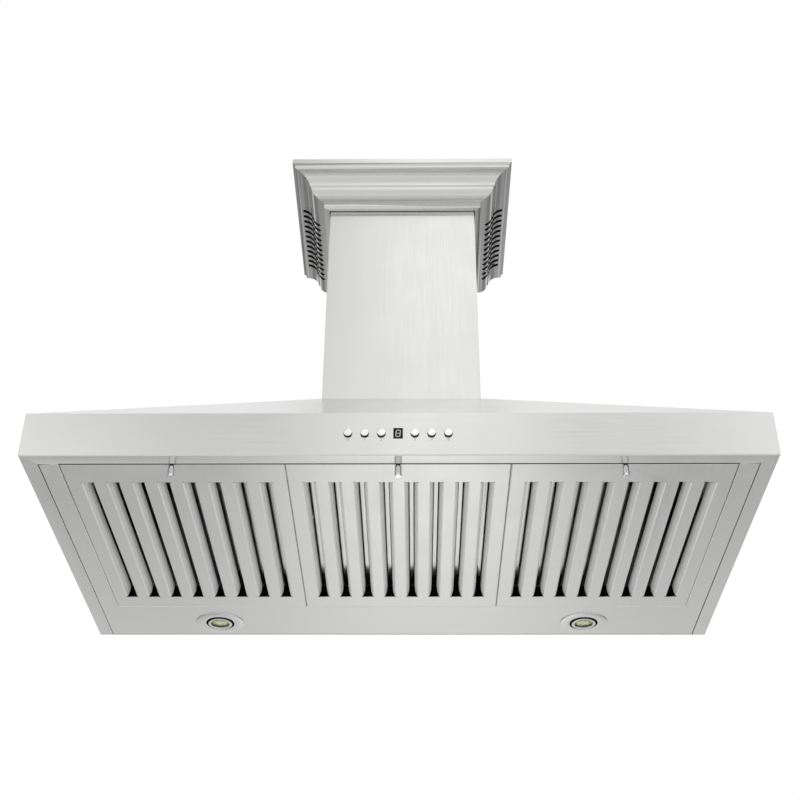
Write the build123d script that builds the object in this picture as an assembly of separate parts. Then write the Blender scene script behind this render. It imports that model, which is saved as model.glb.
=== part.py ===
from build123d import *
from math import cos, hypot, pi, radians, sin
import os

# A wall-hung chimney range hood, in millimetres.
# +X is to the right of a cook who faces the hood, +Y is into the wall and +Z is up.
# The origin is on the wall plane, at mid width, level with the underside of the canopy.

# ---- canopy ----
canopy_width = 900.0
canopy_depth = 500.0
fascia_height = 60.0
slope_rise = 215.0
sheet = 1.0               # stainless sheet of the canopy and chimney
fold = 0.4                # inner radius of a folded edge
lip_width = 19.0          # return lip under the fascia
mitre_seam = 0.1          # half of the seam at a mitred corner
seat_gap = 0.4            # clearance round a panel that drops into the canopy

# ---- chimney and crown ----
chimney_width = 234.0
chimney_depth = 220.0
chimney_show = 370.0      # chimney between the slopes and the crown
chimney_turn = 14.0       # flange turned in at the wall
chimney_foot = 10.0       # flange turned in at the foot
slide_gap = 0.6           # between the two nested chimney covers
nested_bottom = 25.0      # foot of the inner cover above the slopes
crown_reach = 60.0
crown_height = 60.0
crown_rim = 8.5
crown_bead = 5.5
crown_bead_step = 4.0
crown_cove_step = 3.0
crown_nose = 2.0
crown_ease = 1.0          # drop or reach of the small slants between the mouldings
crown_ovolo_step = 3.0
crown_ovolo_width = 18.0
crown_ovolo_height = 16.0
crown_fillet_height = 9.0
crown_fillet_reach = 10.0
crown_foot_gap = 2.0      # dark gap between the crown and the outer cover
crown_top_gap = 3.0       # between the crown's flat top and the line of the outer cover
crown_overlap = 4.0       # outer cover hidden inside the crown
vent_count = 12
vent_pitch = 12.7
vent_width = 6.6
vent_near = 19.0          # inner end of a vent, from the chimney face
vent_far = 50.0
vent_from_wall = 105.5    # middle of the row of vents
strap_sheet = 1.5         # angle straps that carry the crown
strap_half = 10.0
strap_inset = 4.0         # end of a strap, inside the crown's rim
strap_drop = 40.0
rest_height = 22.0        # angle tabs that the inner cover stands on
rest_reach = 12.0
rest_gap = 0.3

# ---- filters ----
filter_count = 3
filter_pitch = 270.7
filter_gap = 0.9
filter_length = 386.0
filter_rear = 94.0        # rear edge, from the wall
filter_sheet = 0.8
filter_wall = 20.0
filter_fold = 0.5
slot_count = 8
slot_pitch = 31.08
slot_half = 8.45
slot_front = 41.4         # border in front of the slots
slot_rear = 31.8          # border behind them
slot_relief = 1.6         # notch at each end of a folded slot edge
throat_half = 3.6
throat_height = 16.3
waist_half = 4.4
waist_height = 7.5
fold_run = 1.35           # flat that the fold at a slot edge uses up
upper_gap = 8.9           # from the throat to the upper baffles
upper_half = 3.5
upper_wall = 7.0
rail_foot = 11.0
rail_inset = 12.0
rail_rear_inset = 5.0
knob_radius = 4.2
knob_length = 15.0
knob_inset = 4.2          # from the filter's front edge to the knob's axis
stud_radius = 2.0
nut_radius = 2.9
nut_height = 3.0
baffle_end = 4.0          # from the end of a rail to the filter's side

# ---- base panel and lamps ----
base_flange = 15.0
lamp_x = 265.7
lamp_from_wall = 41.3
lamp_ring_radius = 35.0
lamp_ring_hole = 20.5
lamp_ring_drop = 1.3
lamp_sleeve = 30.5
lamp_sleeve_wall = 2.0
lamp_sleeve_height = 16.0
lamp_bezel = 17.7
lamp_bezel_drop = 2.6
lamp_bezel_wall = 4.4
lamp_can = 27.0
lamp_can_height = 14.0
lamp_fins = 5
fin_pitch = 9.0
fin_slot_half = 2.0
fin_bottom = 10.0
lamp_can_bottom = 4.0     # above the canopy's underside
lens_seat = 3.0           # back of the lens above the canopy's underside
lens_thickness = 1.6
lens_crown = 0.8
clip_reach = 11.0
clip_width = 9.0
clip_sheet = 0.8
catch_place = 0.37        # catches from a filter's middle, as a share of its width
catch_half = 6.0
catch_sheet = 0.6

# ---- controls ----
button_pitch = 20.0
control_height = 30.8
button_radius = 5.0
button_proud = 3.0
button_gap = 0.3
button_flange = 1.2
button_stem = 2.0
button_travel = 1.5
button_stem_length = 3.0
button_round = 1.2
switch_half = 3.0
post_radius = 3.0
housing_half = 78.0
housing_rise = 15.0
housing_wall = 1.5
housing_depth = 14.0
board_from_front = 9.0
board_thickness = 1.6
display_width = 11.0
display_height = 14.8
display_clearance = 0.2
board_gap = 1.0           # round the board, inside its housing

# ---- blower ----
blower_x = 62.0           # half width
blower_from_wall = 110.0
blower_z = 150.0
blower_wall = 1.2
scroll_small = 78.0
scroll_large = 90.0
neck_front = 90.0         # outlet neck, in front of the wheel's axis
neck_rear = 68.0
neck_flange = 11.0
neck_foot = 20.0          # start of the neck's front wall above the wheel's axis
tongue_rise = 12.0
tongue_angle = 50.0
scroll_sweep = 230.0      # angle the spiral turns through
inlet_radius = 52.0
inlet_lip = 3.0
wheel_radius = 70.0
wheel_half = 50.0
wheel_ring = 1.5
blade_count = 32
blade_chord = 15.0
blade_thickness = 0.9
blade_angle = 25.0
blade_share = 0.86        # part of the chord that stands outside the end rings' bore
hub_radius = 10.0
hub_half = 9.0
shaft_radius = 4.0
shaft_gap = 0.04
motor_radius = 40.0
motor_length = 60.0
motor_start = 14.0
motor_bore_depth = 24.0
motor_round = 4.0
spider_arm = 10.0
spider_sheet = 2.0
spider_ring = 8.0
spider_foot = 66.0
spider_arms = 3

# ---- duct collar and damper ----
duct_radius = 75.0
duct_wall = 1.0
duct_height = 55.0
duct_flange = 12.0
damper_height = 31.0      # pin above the top of the slopes
pin_radius = 1.5
pin_gap = 0.06
flap_gap = 1.4            # between the flaps and the collar's wall
flap_sheet = 1.0
flap_start = 3.4
barrel_radius = 2.6
barrel_inset = 12.6       # end of the outer barrels, inside the flap's rim
barrel_split = 31.0       # where the barrels of the two flaps meet
barrel_gap = 1.0          # half of the space between them
ledge_reach = 4.0
ledge_gap = 0.3           # between the ledge and the flaps

# ---- wall fixing and wiring ----
hang_spacing = 300.0
hang_height = 200.0
hang_slot_length = 20.0
hang_slot_half = 4.0
low_spacing = 700.0
low_height = 35.0
low_hole = 3.0
gland_x = -200.0
gland_z = 115.0
gland_radius = 11.0
gland_bore = 6.0
gland_length = 12.0
gland_head = 14.0
box_width = 96.0
box_height = 66.0
box_depth = 40.0
box_wall = 2.0
capacitor_x = 160.0
capacitor_radius = 16.0
capacitor_length = 62.0
capacitor_tab = 8.0       # reach and half height of its mounting strap
capacitor_strap = 4.0
screw_radius = 2.0
screw_head = 3.6
screw_head_height = 2.2

# ---- sizes worked out from those ----
half_width = canopy_width / 2
front = -canopy_depth
slope_top = fascia_height + slope_rise
neck_half = chimney_width / 2
chimney_front = -chimney_depth
slope_across = half_width - neck_half
slope_back = canopy_depth - chimney_depth
side_run = sheet * hypot(slope_across, slope_rise) / slope_rise
front_run = sheet * hypot(slope_back, slope_rise) / slope_rise
crown_bottom = slope_top + chimney_show
crown_top = crown_bottom + crown_height
cover_top = crown_bottom + crown_overlap
inner_bottom = slope_top + nested_bottom
filter_width = filter_pitch - filter_gap
filter_front = -filter_rear - filter_length
slot_start = filter_front + slot_front
slot_end = -filter_rear - slot_rear
upper_bottom = throat_height + upper_gap
panel_half = half_width - lip_width - seat_gap
panel_front = front + lip_width + seat_gap
opening_half = filter_count * filter_pitch / 2 + seat_gap / 2
opening_rear = -filter_rear + seat_gap
blower_y = -blower_from_wall
collar_z = slope_top
damper_z = slope_top + damper_height
flap_radius = duct_radius - duct_wall - flap_gap


def block(x0, x1, y0, y1, z0, z1):
    """Box between two corners."""
    centre = ((x0 + x1) / 2, (y0 + y1) / 2, (z0 + z1) / 2)
    return Pos(*centre) * Box(abs(x1 - x0), abs(y1 - y0), abs(z1 - z0))


def rod(radius, start, end):
    """Cylinder from one point to another."""
    span = Vector(*end) - Vector(*start)
    return extrude(Plane(origin=start, z_dir=span) * Circle(radius), span.length)


def along_x(face, x0, x1):
    """Face drawn as (y, z), drawn out from x0 to x1."""
    return extrude(Plane.YZ.offset(x0) * face, x1 - x0)


def along_y(face, y0, y1):
    """Face drawn as (x, z), drawn out from y0 to y1."""
    return extrude(Plane.XZ.offset(-y1) * face, y1 - y0)


def along_z(face, z0, z1):
    """Face drawn as (x, y), drawn out from z0 to z1."""
    return extrude(Plane.XY.offset(z0) * face, z1 - z0)


def polygon(*points):
    """Flat face inside straight sides."""
    return make_face(Polyline(*points, close=True))


def folded(path, thickness, inner_radii):
    """Section of a sheet folded along a path, thickened to the left of the path."""
    points = [Vector(*point) for point in path]
    runs = [(b - a).normalized() for a, b in zip(points, points[1:])]
    normals = [Vector(-run.Y, run.X) for run in runs]
    offsets = [points[0] + normals[0] * thickness]
    near_radii, far_radii = [0.0], [0.0]
    for index, radius in enumerate(inner_radii):
        before, after = normals[index], normals[index + 1]
        offsets.append(points[index + 1] + (before + after) * (thickness / (1 + before.dot(after))))
        turns_left = runs[index].X * runs[index + 1].Y - runs[index].Y * runs[index + 1].X > 0
        near_radii.append(radius + thickness if turns_left else radius)
        far_radii.append(radius if turns_left else radius + thickness)
    offsets.append(points[-1] + normals[-1] * thickness)
    near_radii.append(0.0)
    far_radii.append(0.0)
    corners = points + offsets[::-1]
    return make_face(FilletPolyline(*corners, radius=near_radii + far_radii[::-1], close=True))


def control_point(x, y):
    """Point at the height of the row of buttons."""
    return (x, y, control_height)


def right_of(shape):
    """The same piece on the other side of the hood."""
    return mirror(shape, about=Plane.YZ)


def low_edges(shape, height):
    """Edges that lie flat at one height."""
    return shape.edges().filter_by_position(Axis.Z, height - 0.01, height + 0.01)


def save(name, *shapes):
    """Write a node: one solid, or a group of separate solids."""
    solids = [solid for shape in shapes for solid in shape.solids()]
    node = solids[0] if len(solids) == 1 else Compound(solids)
    node.label = name
    export_step(node, os.path.join("parts", name + ".step"))


# ---- canopy skin ----
def corner_region(half, edge, reach, rear, side):
    """Plan of a front or left-hand piece between 45 degree mitres at the front corners."""
    seam = mitre_seam * 2 ** 0.5
    if side:
        corners = [(-half, edge + seam), (-half + reach, edge + reach + seam), (-half + reach, rear)]
        corners.append((-half, rear))
    else:
        corners = [(-half + seam, edge), (half - seam, edge)]
        corners += [(half - reach - seam, edge + reach), (-half + reach + seam, edge + reach)]
    return along_z(polygon(*corners), -1.0, fascia_height + 1.0)


def fascia(outer):
    """Section of the fascia with its return lip, from the outer face inwards."""
    return folded([(outer, fascia_height), (outer, 0.0), (outer + lip_width, 0.0)], sheet, [fold])


def make_fascia():
    reach = lip_width + sheet
    plain = along_x(fascia(front), -half_width, half_width)
    plain &= corner_region(half_width, front, reach, -sheet, False)
    for index in (-3, -2, -1, 1, 2, 3):
        x = index * button_pitch
        plain -= rod(button_radius + button_gap, control_point(x, front - 1.0), control_point(x, front + 2.0))
    window_half = display_width / 2 + display_clearance
    window_rise = display_height / 2 + display_clearance
    plain -= block(-window_half, window_half, front - 1.0, front + 2.0,
                   control_height - window_rise, control_height + window_rise)
    save("fascia_front", plain)
    side = along_y(fascia(-half_width), front, -sheet)
    side &= corner_region(half_width, front, reach, -sheet, True)
    save("fascia_left", side)
    save("fascia_right", right_of(side))


def make_slopes():
    """Three flat sheets of a pyramid, from the fascia up to the foot of the chimney."""
    def panel(low, high):
        faces = [Plane.XY.offset(z) * polygon(*corners)
                 for z, corners in ((fascia_height, low), (slope_top, high))]
        return loft(faces, ruled=True)

    def front_strip(half, edge):
        inner = (half - side_run, edge + front_run)
        return [(-half, edge), (half, edge), inner, (-inner[0], inner[1])]

    def side_strip(half, edge):
        return [(-half, edge), (-half + side_run, edge + front_run),
                (-half + side_run, -sheet), (-half, -sheet)]

    save("slope_front", panel(front_strip(half_width, front), front_strip(neck_half, chimney_front)))
    left = panel(side_strip(half_width, front), side_strip(neck_half, chimney_front))
    save("slope_left", left)
    save("slope_right", right_of(left))


def make_back_panel():
    outline = polygon((-half_width, 0.0), (half_width, 0.0), (half_width, fascia_height),
                      (neck_half, slope_top), (-neck_half, slope_top), (-half_width, fascia_height))
    panel = along_y(outline, -sheet, 0.0)
    for side in (-1, 1):
        hang = Pos(side * hang_spacing / 2, hang_height) * SlotOverall(hang_slot_length, 2 * hang_slot_half)
        panel -= along_y(hang, -2.0, 1.0)
        x = side * low_spacing / 2
        panel -= rod(low_hole, (x, -2.0, low_height), (x, 1.0, low_height))
    panel -= rod(gland_radius, (gland_x, -2.0, gland_z), (gland_x, 1.0, gland_z))
    for x in panel_screw_places():
        panel -= rod(screw_radius, (x, -2.0, base_flange / 2), (x, 1.0, base_flange / 2))
    save("back_panel", panel)


def panel_screw_places():
    return [share * panel_half for share in (-0.9, -0.3, 0.3, 0.9)]


def make_top_plate():
    """Flat top of the canopy, which the blower hangs from and the duct collar stands on."""
    plate = block(-neck_half + side_run, neck_half - side_run, chimney_front + front_run, -sheet,
                  slope_top - sheet, slope_top)
    plate -= rod(duct_radius - duct_wall, (0, blower_y, slope_top - 5), (0, blower_y, slope_top + 5))
    for x, y in blower_screw_places() + chimney_screw_places():
        plate -= rod(screw_radius, (x, y, slope_top - 5), (x, y, slope_top + 5))
    save("top_plate", plate)


def make_base_panel():
    """Flush panel behind and beside the filters: a U with turned-up edges and two lamp holes."""
    def outline(inset):
        rear, edge = -sheet - inset, panel_front + inset
        out, hole, hole_rear = panel_half - inset, opening_half + inset, opening_rear + inset
        return polygon((-out, rear), (-out, edge), (-hole, edge), (-hole, hole_rear),
                       (hole, hole_rear), (hole, edge), (out, edge), (out, rear))

    panel = along_z(outline(0.0), 0.0, base_flange)
    panel = fillet(low_edges(panel, 0.0), fold + sheet)
    panel -= along_z(outline(sheet), sheet, base_flange + 1.0)
    for x in (-lamp_x, lamp_x):
        panel -= rod(lamp_sleeve + 0.3, (x, -lamp_from_wall, -1.0), (x, -lamp_from_wall, 3.0))
    for x in panel_screw_places():
        panel -= rod(screw_radius, (x, -3.0, base_flange / 2), (x, 1.0, base_flange / 2))
    save("base_panel", panel)
    screws = []
    for x in panel_screw_places():
        z = base_flange / 2
        head = rod(screw_head, (x, -2 * sheet - screw_head_height, z), (x, -2 * sheet, z))
        screws.append(head + rod(screw_radius, (x, -2 * sheet, z), (x, -0.1, z)))
    save("panel_screws", *screws)


def make_filter_catches():
    """Spring catches on the front lip, two to a filter."""
    catches = []
    heel = filter_front - 1.2
    path = [(front + sheet + 1.0, sheet), (heel, sheet), (heel - 2.8, filter_wall - 4.0),
            (heel - 4.8, filter_wall)]
    section = folded(path, catch_sheet, [0.5, 2.0])
    for middle in filter_middles():
        for side in (-1, 1):
            x = middle + side * catch_place * filter_width
            catches.append(along_x(section, x - catch_half, x + catch_half))
    save("filter_catches", *catches)


# ---- chimney ----
def cover_section(half, edge, rear, turn):
    """Plan of a chimney cover: front, two sides and two flanges turned in at the wall."""
    path = [(half - turn, rear), (half, rear), (half, edge), (-half, edge), (-half, rear),
            (-half + turn, rear)]
    return folded(path[::-1], sheet, [fold] * 4)


def make_lower_chimney():
    cover = along_z(cover_section(neck_half, chimney_front, 0.0, chimney_turn), slope_top, cover_top)
    inner = neck_half - chimney_foot
    foot = block(-neck_half + sheet, neck_half - sheet, chimney_front + sheet, -sheet,
                 slope_top, slope_top + sheet)
    foot -= block(-inner, inner, chimney_front + chimney_foot, 1.0, slope_top - 1.0, slope_top + 2.0)
    cover += foot
    for x, y in chimney_screw_places():
        cover -= rod(screw_radius, (x, y, slope_top - 5), (x, y, slope_top + 5))
    save("lower_chimney", cover)
    screws = []
    for x, y in chimney_screw_places():
        head = rod(screw_head, (x, y, slope_top + sheet), (x, y, slope_top + sheet + screw_head_height))
        screws.append(head + rod(screw_radius, (x, y, slope_top - 4.0), (x, y, slope_top + sheet)))
    save("chimney_screws", *screws)


def chimney_screw_places():
    x = neck_half - sheet - chimney_foot / 2
    return [(side * x, -share * chimney_depth) for side in (-1, 1) for share in (0.25, 0.75)]


def make_chimney_rests():
    """Two angle tabs inside the outer cover, which the inner cover stands on."""
    wall = neck_half - sheet
    top = inner_bottom - rest_gap
    bottom = inner_bottom - rest_height
    section = polygon((-wall, bottom), (-wall + sheet, bottom), (-wall + sheet, top - sheet),
                      (-wall + rest_reach, top - sheet), (-wall + rest_reach, top), (-wall, top))
    tab = along_y(section, chimney_front * 0.7, chimney_front * 0.5)
    save("chimney_rests", tab, right_of(tab))


def make_upper_chimney():
    half = neck_half - sheet - slide_gap
    edge = chimney_front + sheet + slide_gap
    cover = along_z(cover_section(half, edge, -sheet - slide_gap, chimney_turn), inner_bottom, crown_top)
    save("upper_chimney", cover)


# ---- crown moulding ----
def crown_section():
    """Section of the moulding as (reach from the chimney face, height from the crown's top)."""
    bead_out = crown_reach - crown_bead_step
    bead_low = -crown_rim - crown_ease - crown_bead
    cove_top = (bead_out - crown_cove_step, bead_low - crown_ease)
    foot_top = -crown_height + crown_fillet_height
    ovolo_end = (crown_fillet_reach + crown_ovolo_step, foot_top + crown_ease)
    ovolo_top = (ovolo_end[0] + crown_ovolo_width, ovolo_end[1] + crown_ovolo_height)
    cove_end = (ovolo_top[0] + crown_nose, ovolo_top[1] + crown_ease)
    bend = cos(pi / 4)
    cove_middle = (cove_top[0] - (cove_top[0] - cove_end[0]) * bend,
                   cove_end[1] + (cove_top[1] - cove_end[1]) * bend)
    ovolo_middle = (ovolo_end[0] + crown_ovolo_width * bend, ovolo_top[1] - crown_ovolo_height * bend)
    rim = [(crown_reach, 0.0), (crown_reach, -crown_rim), (bead_out, -crown_rim - crown_ease),
           (bead_out, bead_low), cove_top]
    foot = [ovolo_end, (crown_fillet_reach, foot_top), (crown_fillet_reach, -crown_height),
            (crown_foot_gap, -crown_height)]

    def inside(point):
        return (point[0] - sheet, point[1] + sheet)

    inner_rim = [(crown_top_gap, -sheet), (crown_reach - sheet, -sheet)] + [inside(p) for p in rim[1:]]
    curves = [
        Polyline((crown_top_gap, 0.0), *rim),
        ThreePointArc(cove_top, cove_middle, cove_end),
        Line(cove_end, ovolo_top),
        ThreePointArc(ovolo_top, ovolo_middle, ovolo_end),
        Polyline(*foot, *[inside(p) for p in foot[::-1]]),
        ThreePointArc(inside(ovolo_end), inside(ovolo_middle), inside(ovolo_top)),
        Line(inside(ovolo_top), inside(cove_end)),
        ThreePointArc(inside(cove_end), inside(cove_middle), inside(cove_top)),
        Polyline(*inner_rim[::-1]),
        Line((crown_top_gap, -sheet), (crown_top_gap, 0.0)),
    ]
    return make_face([edge for curve in curves for edge in curve.edges()])


def make_crown():
    outer = neck_half + crown_reach
    edge = chimney_front - crown_reach
    low, high = crown_bottom - 1.0, crown_top + 1.0
    seam = mitre_seam * 2 ** 0.5
    section = crown_section()
    front_piece = extrude(Plane(origin=(outer, chimney_front, crown_top), x_dir=(0, -1, 0), z_dir=(-1, 0, 0))
                          * section, 2 * outer)
    front_piece &= along_z(polygon((-neck_half + seam, chimney_front), (neck_half - seam, chimney_front),
                                   (outer - seam, edge), (-outer + seam, edge)), low, high)
    save("crown_front", front_piece)
    side_piece = extrude(Plane(origin=(-neck_half, edge, crown_top), x_dir=(-1, 0, 0), z_dir=(0, 1, 0))
                         * section, -edge)
    side_piece &= along_z(polygon((-neck_half, chimney_front + seam), (-outer, edge + seam), (-outer, 0.0),
                                  (-neck_half, 0.0)), low, high)
    vent = SlotOverall(vent_far - vent_near, vent_width)
    for index in range(vent_count):
        y = -vent_from_wall + (index - (vent_count - 1) / 2) * vent_pitch
        x = -neck_half - (vent_near + vent_far) / 2
        side_piece -= along_z(Pos(x, y) * vent, low, crown_top - sheet - 1.0)
    save("crown_left", side_piece)
    save("crown_right", right_of(side_piece))


def make_crown_brackets():
    """Angle straps under the crown's top flange, fixed to the inner cover."""
    cover = -sheet - slide_gap
    path = [(crown_reach - strap_inset, -sheet), (cover, -sheet), (cover, -strap_drop)]
    section = folded(path, strap_sheet, [fold])
    straps = []
    for x in (-0.25 * chimney_width, 0.25 * chimney_width):
        plane = Plane(origin=(x + strap_half, chimney_front, crown_top), x_dir=(0, -1, 0), z_dir=(-1, 0, 0))
        straps.append(extrude(plane * section, 2 * strap_half))
    for y in (-0.2 * chimney_depth, -0.8 * chimney_depth):
        plane = Plane(origin=(-neck_half, y - strap_half, crown_top), x_dir=(-1, 0, 0), z_dir=(0, 1, 0))
        strap = extrude(plane * section, 2 * strap_half)
        straps += [strap, right_of(strap)]
    save("crown_brackets", *straps)


# ---- filters ----
def filter_tray():
    """Pressed filter face: a shallow tray whose slots have flared, turned-in edges."""
    half = filter_width / 2
    rear = -filter_rear
    outer_fold = filter_fold + filter_sheet
    tray = block(-half, half, filter_front, rear, 0.0, filter_wall)
    tray = fillet(tray.edges().filter_by(Axis.Z) + low_edges(tray, 0.0), outer_fold)
    hollow = block(-half + filter_sheet, half - filter_sheet, filter_front + filter_sheet,
                   rear - filter_sheet, filter_sheet, filter_wall + 5.0)
    tray -= fillet(hollow.edges().filter_by(Axis.Z) + low_edges(hollow, filter_sheet), filter_fold)
    path = [(throat_half, throat_height), (waist_half, waist_height), (slot_half - fold_run, 0.0),
            (slot_half + 1.2, 0.0)]
    edge = along_y(folded(path, filter_sheet, [9.0, 1.2]), slot_start + slot_relief, slot_end - slot_relief)
    edges = []
    for x in slot_centres():
        tray -= block(x - slot_half, x + slot_half, slot_start, slot_end, -1.0, 2.0)
        edges += [Pos(x, 0, 0) * edge, Pos(x, 0, 0) * right_of(edge)]
    tray = tray + edges
    knob_y = filter_front + knob_inset
    return tray - rod(stud_radius, (0, knob_y, -1.0), (0, knob_y, 3.0))


def slot_centres():
    return [(index - (slot_count - 1) / 2) * slot_pitch for index in range(slot_count)]


def filter_middles():
    return [(index - (filter_count - 1) / 2) * filter_pitch for index in range(filter_count)]


def upper_baffles():
    """Inverted row of channels above the slots, carried by two cross rails."""
    top = upper_bottom
    t = filter_sheet
    front_y = filter_front + rail_inset
    rear_y = -filter_rear - rail_rear_inset
    half = filter_width / 2 - baffle_end
    front_rail = rail_section(front_y, front_y + rail_foot, top)
    rear_rail = rail_section(rear_y, rear_y - rail_foot, top)
    grid = along_x(front_rail, -half, half) + along_x(rear_rail, -half, half)
    path = [(-upper_half, top + upper_wall), (-upper_half, top), (upper_half, top),
            (upper_half, top + upper_wall)]
    channel = along_y(folded(path, t, [fold, fold]), front_y, rear_y)
    return grid + [Pos(x, 0, 0) * channel for x in slot_centres()]


def rail_section(web, foot, top):
    """Channel on its side: foot on the tray, upright web, and a flange for the baffles."""
    t = filter_sheet
    inner = web + (t if foot > web else -t)
    return polygon((web, t), (foot, t), (foot, 2 * t), (inner, 2 * t), (inner, top - t), (foot, top - t),
                   (foot, top), (web, top))


def filter_knob():
    """Turned pull knob under the face, with its stud and nut."""
    y = filter_front + knob_inset
    peg = rod(knob_radius, (0, y, -knob_length), (0, y, 0))
    peg = chamfer(low_edges(peg, -knob_length), 0.5)
    peg += rod(stud_radius, (0, y, 0), (0, y, filter_sheet + nut_height + 1.0))
    return peg + rod(nut_radius, (0, y, filter_sheet), (0, y, filter_sheet + nut_height))


def make_filters():
    tray, baffles, knob = filter_tray(), upper_baffles(), filter_knob()
    for name, middle in zip(("left", "middle", "right"), filter_middles()):
        place = Pos(middle, 0, 0)
        save("filter_" + name + "_tray", place * tray)
        save("filter_" + name + "_baffles", place * baffles)
        save("filter_" + name + "_knob", place * knob)


# ---- lamps ----
def turned(*points):
    """Round part turned about the Z axis from a profile of (radius, height) points."""
    return revolve(Plane.XZ * polygon(*points), Axis.Z)


def lamp_ring():
    """Trim ring that covers the hole in the panel, with a sleeve above it."""
    inner = lamp_sleeve - lamp_sleeve_wall
    return turned((lamp_ring_hole, 0.0), (lamp_ring_hole, -lamp_ring_drop + fold),
                  (lamp_ring_hole + 1.0, -lamp_ring_drop), (lamp_ring_radius - 2.0, -lamp_ring_drop),
                  (lamp_ring_radius, -0.3), (lamp_ring_radius, 0.0), (lamp_sleeve, 0.0),
                  (lamp_sleeve, lamp_sleeve_height), (inner, lamp_sleeve_height), (inner, 1.0),
                  (lamp_ring_hole, 1.0))


def lamp_body():
    """Finned can with a chromed bezel below it and a seat ring that bears on the sleeve."""
    inner = lamp_bezel - lamp_bezel_wall
    low, bottom = -lamp_bezel_drop, lamp_can_bottom
    top = bottom + lamp_can_height
    body = turned((inner, lens_seat), (inner, low + 0.6), (inner + 0.8, low), (lamp_bezel - 1.2, low),
                  (lamp_bezel, low + 1.2), (lamp_bezel, bottom), (lamp_can, bottom), (lamp_can, top),
                  (0.0, top), (0.0, lens_seat))
    for index in range(lamp_fins):
        x = (index - (lamp_fins - 1) / 2) * fin_pitch
        body -= block(x - fin_slot_half, x + fin_slot_half, -lamp_sleeve, lamp_sleeve, fin_bottom, top + 1.0)
    rim, ring = lamp_can - 0.5, lamp_sleeve - lamp_sleeve_wall
    return body + turned((rim, bottom), (ring, bottom), (ring, bottom + 2.0), (rim, bottom + 2.0))


def lamp_lens():
    """Glass with a raised middle, set inside the bezel."""
    edge = lamp_bezel - lamp_bezel_wall
    face = lens_seat - lens_thickness
    return turned((0.0, lens_seat), (0.0, face - lens_crown), (edge * 0.7, face - 0.3), (edge, face),
                  (edge, lens_seat))


def lamp_clip():
    """Bent spring strip that lies outside the sleeve and on the panel."""
    near, top = lamp_sleeve, lamp_sleeve_height - 2.0
    far, t = near + clip_reach, clip_sheet
    section = polygon((far, sheet), (far, sheet + t), (near + 3.5, sheet + t), (near + t, sheet + 4.0),
                      (near + t, top), (near, top), (near, sheet + 3.5), (near + 3.0, sheet))
    return along_y(section, -clip_width / 2, clip_width / 2)


def make_lamps():
    ring, body, lens, clip = lamp_ring(), lamp_body(), lamp_lens(), lamp_clip()
    clips = []
    for name, x in (("left", -lamp_x), ("right", lamp_x)):
        place = Pos(x, -lamp_from_wall, 0)
        save("lamp_ring_" + name, place * ring)
        save("lamp_body_" + name, place * body)
        save("lamp_lens_" + name, place * lens)
        clips += [place * clip, place * right_of(clip)]
    save("lamp_clips", *clips)


# ---- controls ----
def make_controls():
    """Housing behind the fascia, with the board, the display and six push buttons."""
    inside = front + sheet
    back = inside + housing_depth
    low, high = control_height - housing_rise, control_height + housing_rise
    housing = block(-housing_half, housing_half, inside, back, low, high)
    housing -= block(-housing_half + housing_wall, housing_half - housing_wall, inside + housing_wall,
                     back + 1.0, low + housing_wall, high - housing_wall)
    board_front = inside + board_from_front
    board_half = housing_half - housing_wall - board_gap
    board_rise = housing_rise - housing_wall - board_gap
    for x in (post_radius - board_half, board_half - post_radius):
        housing += rod(post_radius, control_point(x, inside + housing_wall), control_point(x, board_front))
    board = block(-board_half, board_half, board_front, board_front + board_thickness,
                  control_height - board_rise, control_height + board_rise)
    half, rise = display_width / 2, display_height / 2
    wide, tall = half + display_clearance, rise + display_clearance
    housing -= block(-wide, wide, inside - 1.0, inside + housing_wall + 1.0, control_height - tall,
                     control_height + tall)
    window = block(-half, half, front, board_front, control_height - rise, control_height + rise)
    save("display_module", window)
    flange_front = inside + housing_wall + button_gap
    switch_front = flange_front + button_flange + button_stem_length + button_travel + button_gap
    names = {-3: "power", -2: "speed_1", -1: "speed_2", 1: "speed_3", 2: "speed_4", 3: "lamp"}
    for index, name in names.items():
        x = index * button_pitch
        housing -= rod(button_radius + button_gap, control_point(x, inside - 1.0),
                       control_point(x, inside + housing_wall + 1.0))
        board += block(x - switch_half, x + switch_half, switch_front, board_front,
                       control_height - switch_half, control_height + switch_half)
        save("button_" + name, push_button(x, flange_front))
    save("control_housing", housing)
    save("control_board", board)


def push_button(x, flange_front):
    """Round cap with a flange that holds it behind the fascia, and a stem to the switch."""
    face = front - button_proud
    flange_back = flange_front + button_flange
    cap = rod(button_radius, control_point(x, face), control_point(x, flange_front))
    cap = fillet(cap.edges().filter_by_position(Axis.Y, face - 0.01, face + 0.01), button_round)
    cap += rod(button_radius + button_flange, control_point(x, flange_front), control_point(x, flange_back))
    return cap + rod(button_stem, control_point(x, flange_front),
                     control_point(x, flange_back + button_stem_length))


# ---- blower ----
def scroll_outline(inset):
    """Snail outline in (y, z): a spiral round the wheel that opens into an upright neck."""
    def spiral(share):
        """Point on the spiral; share 0 is at the tongue and 1 at the front of the neck."""
        angle = radians(tongue_angle - scroll_sweep * share)
        radius = scroll_small + (scroll_large - scroll_small) * share - inset
        return (blower_y + radius * cos(angle), blower_z + radius * sin(angle))

    def arc(start, end):
        return ThreePointArc(spiral(start), spiral((start + end) / 2), spiral(end))

    top = slope_top - sheet
    neck_out = blower_y - neck_front + inset
    neck_in = blower_y + neck_rear - inset
    tongue = spiral(0.0)
    curves = [arc(0.0, 0.34), arc(0.34, 0.67), arc(0.67, 1.0),
              Polyline(spiral(1.0), (neck_out, blower_z + neck_foot), (neck_out, top + inset * 2),
                       (neck_in, top + inset * 2), (neck_in, tongue[1] + tongue_rise), tongue)]
    return make_face([edge for curve in curves for edge in curve.edges()])


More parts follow.
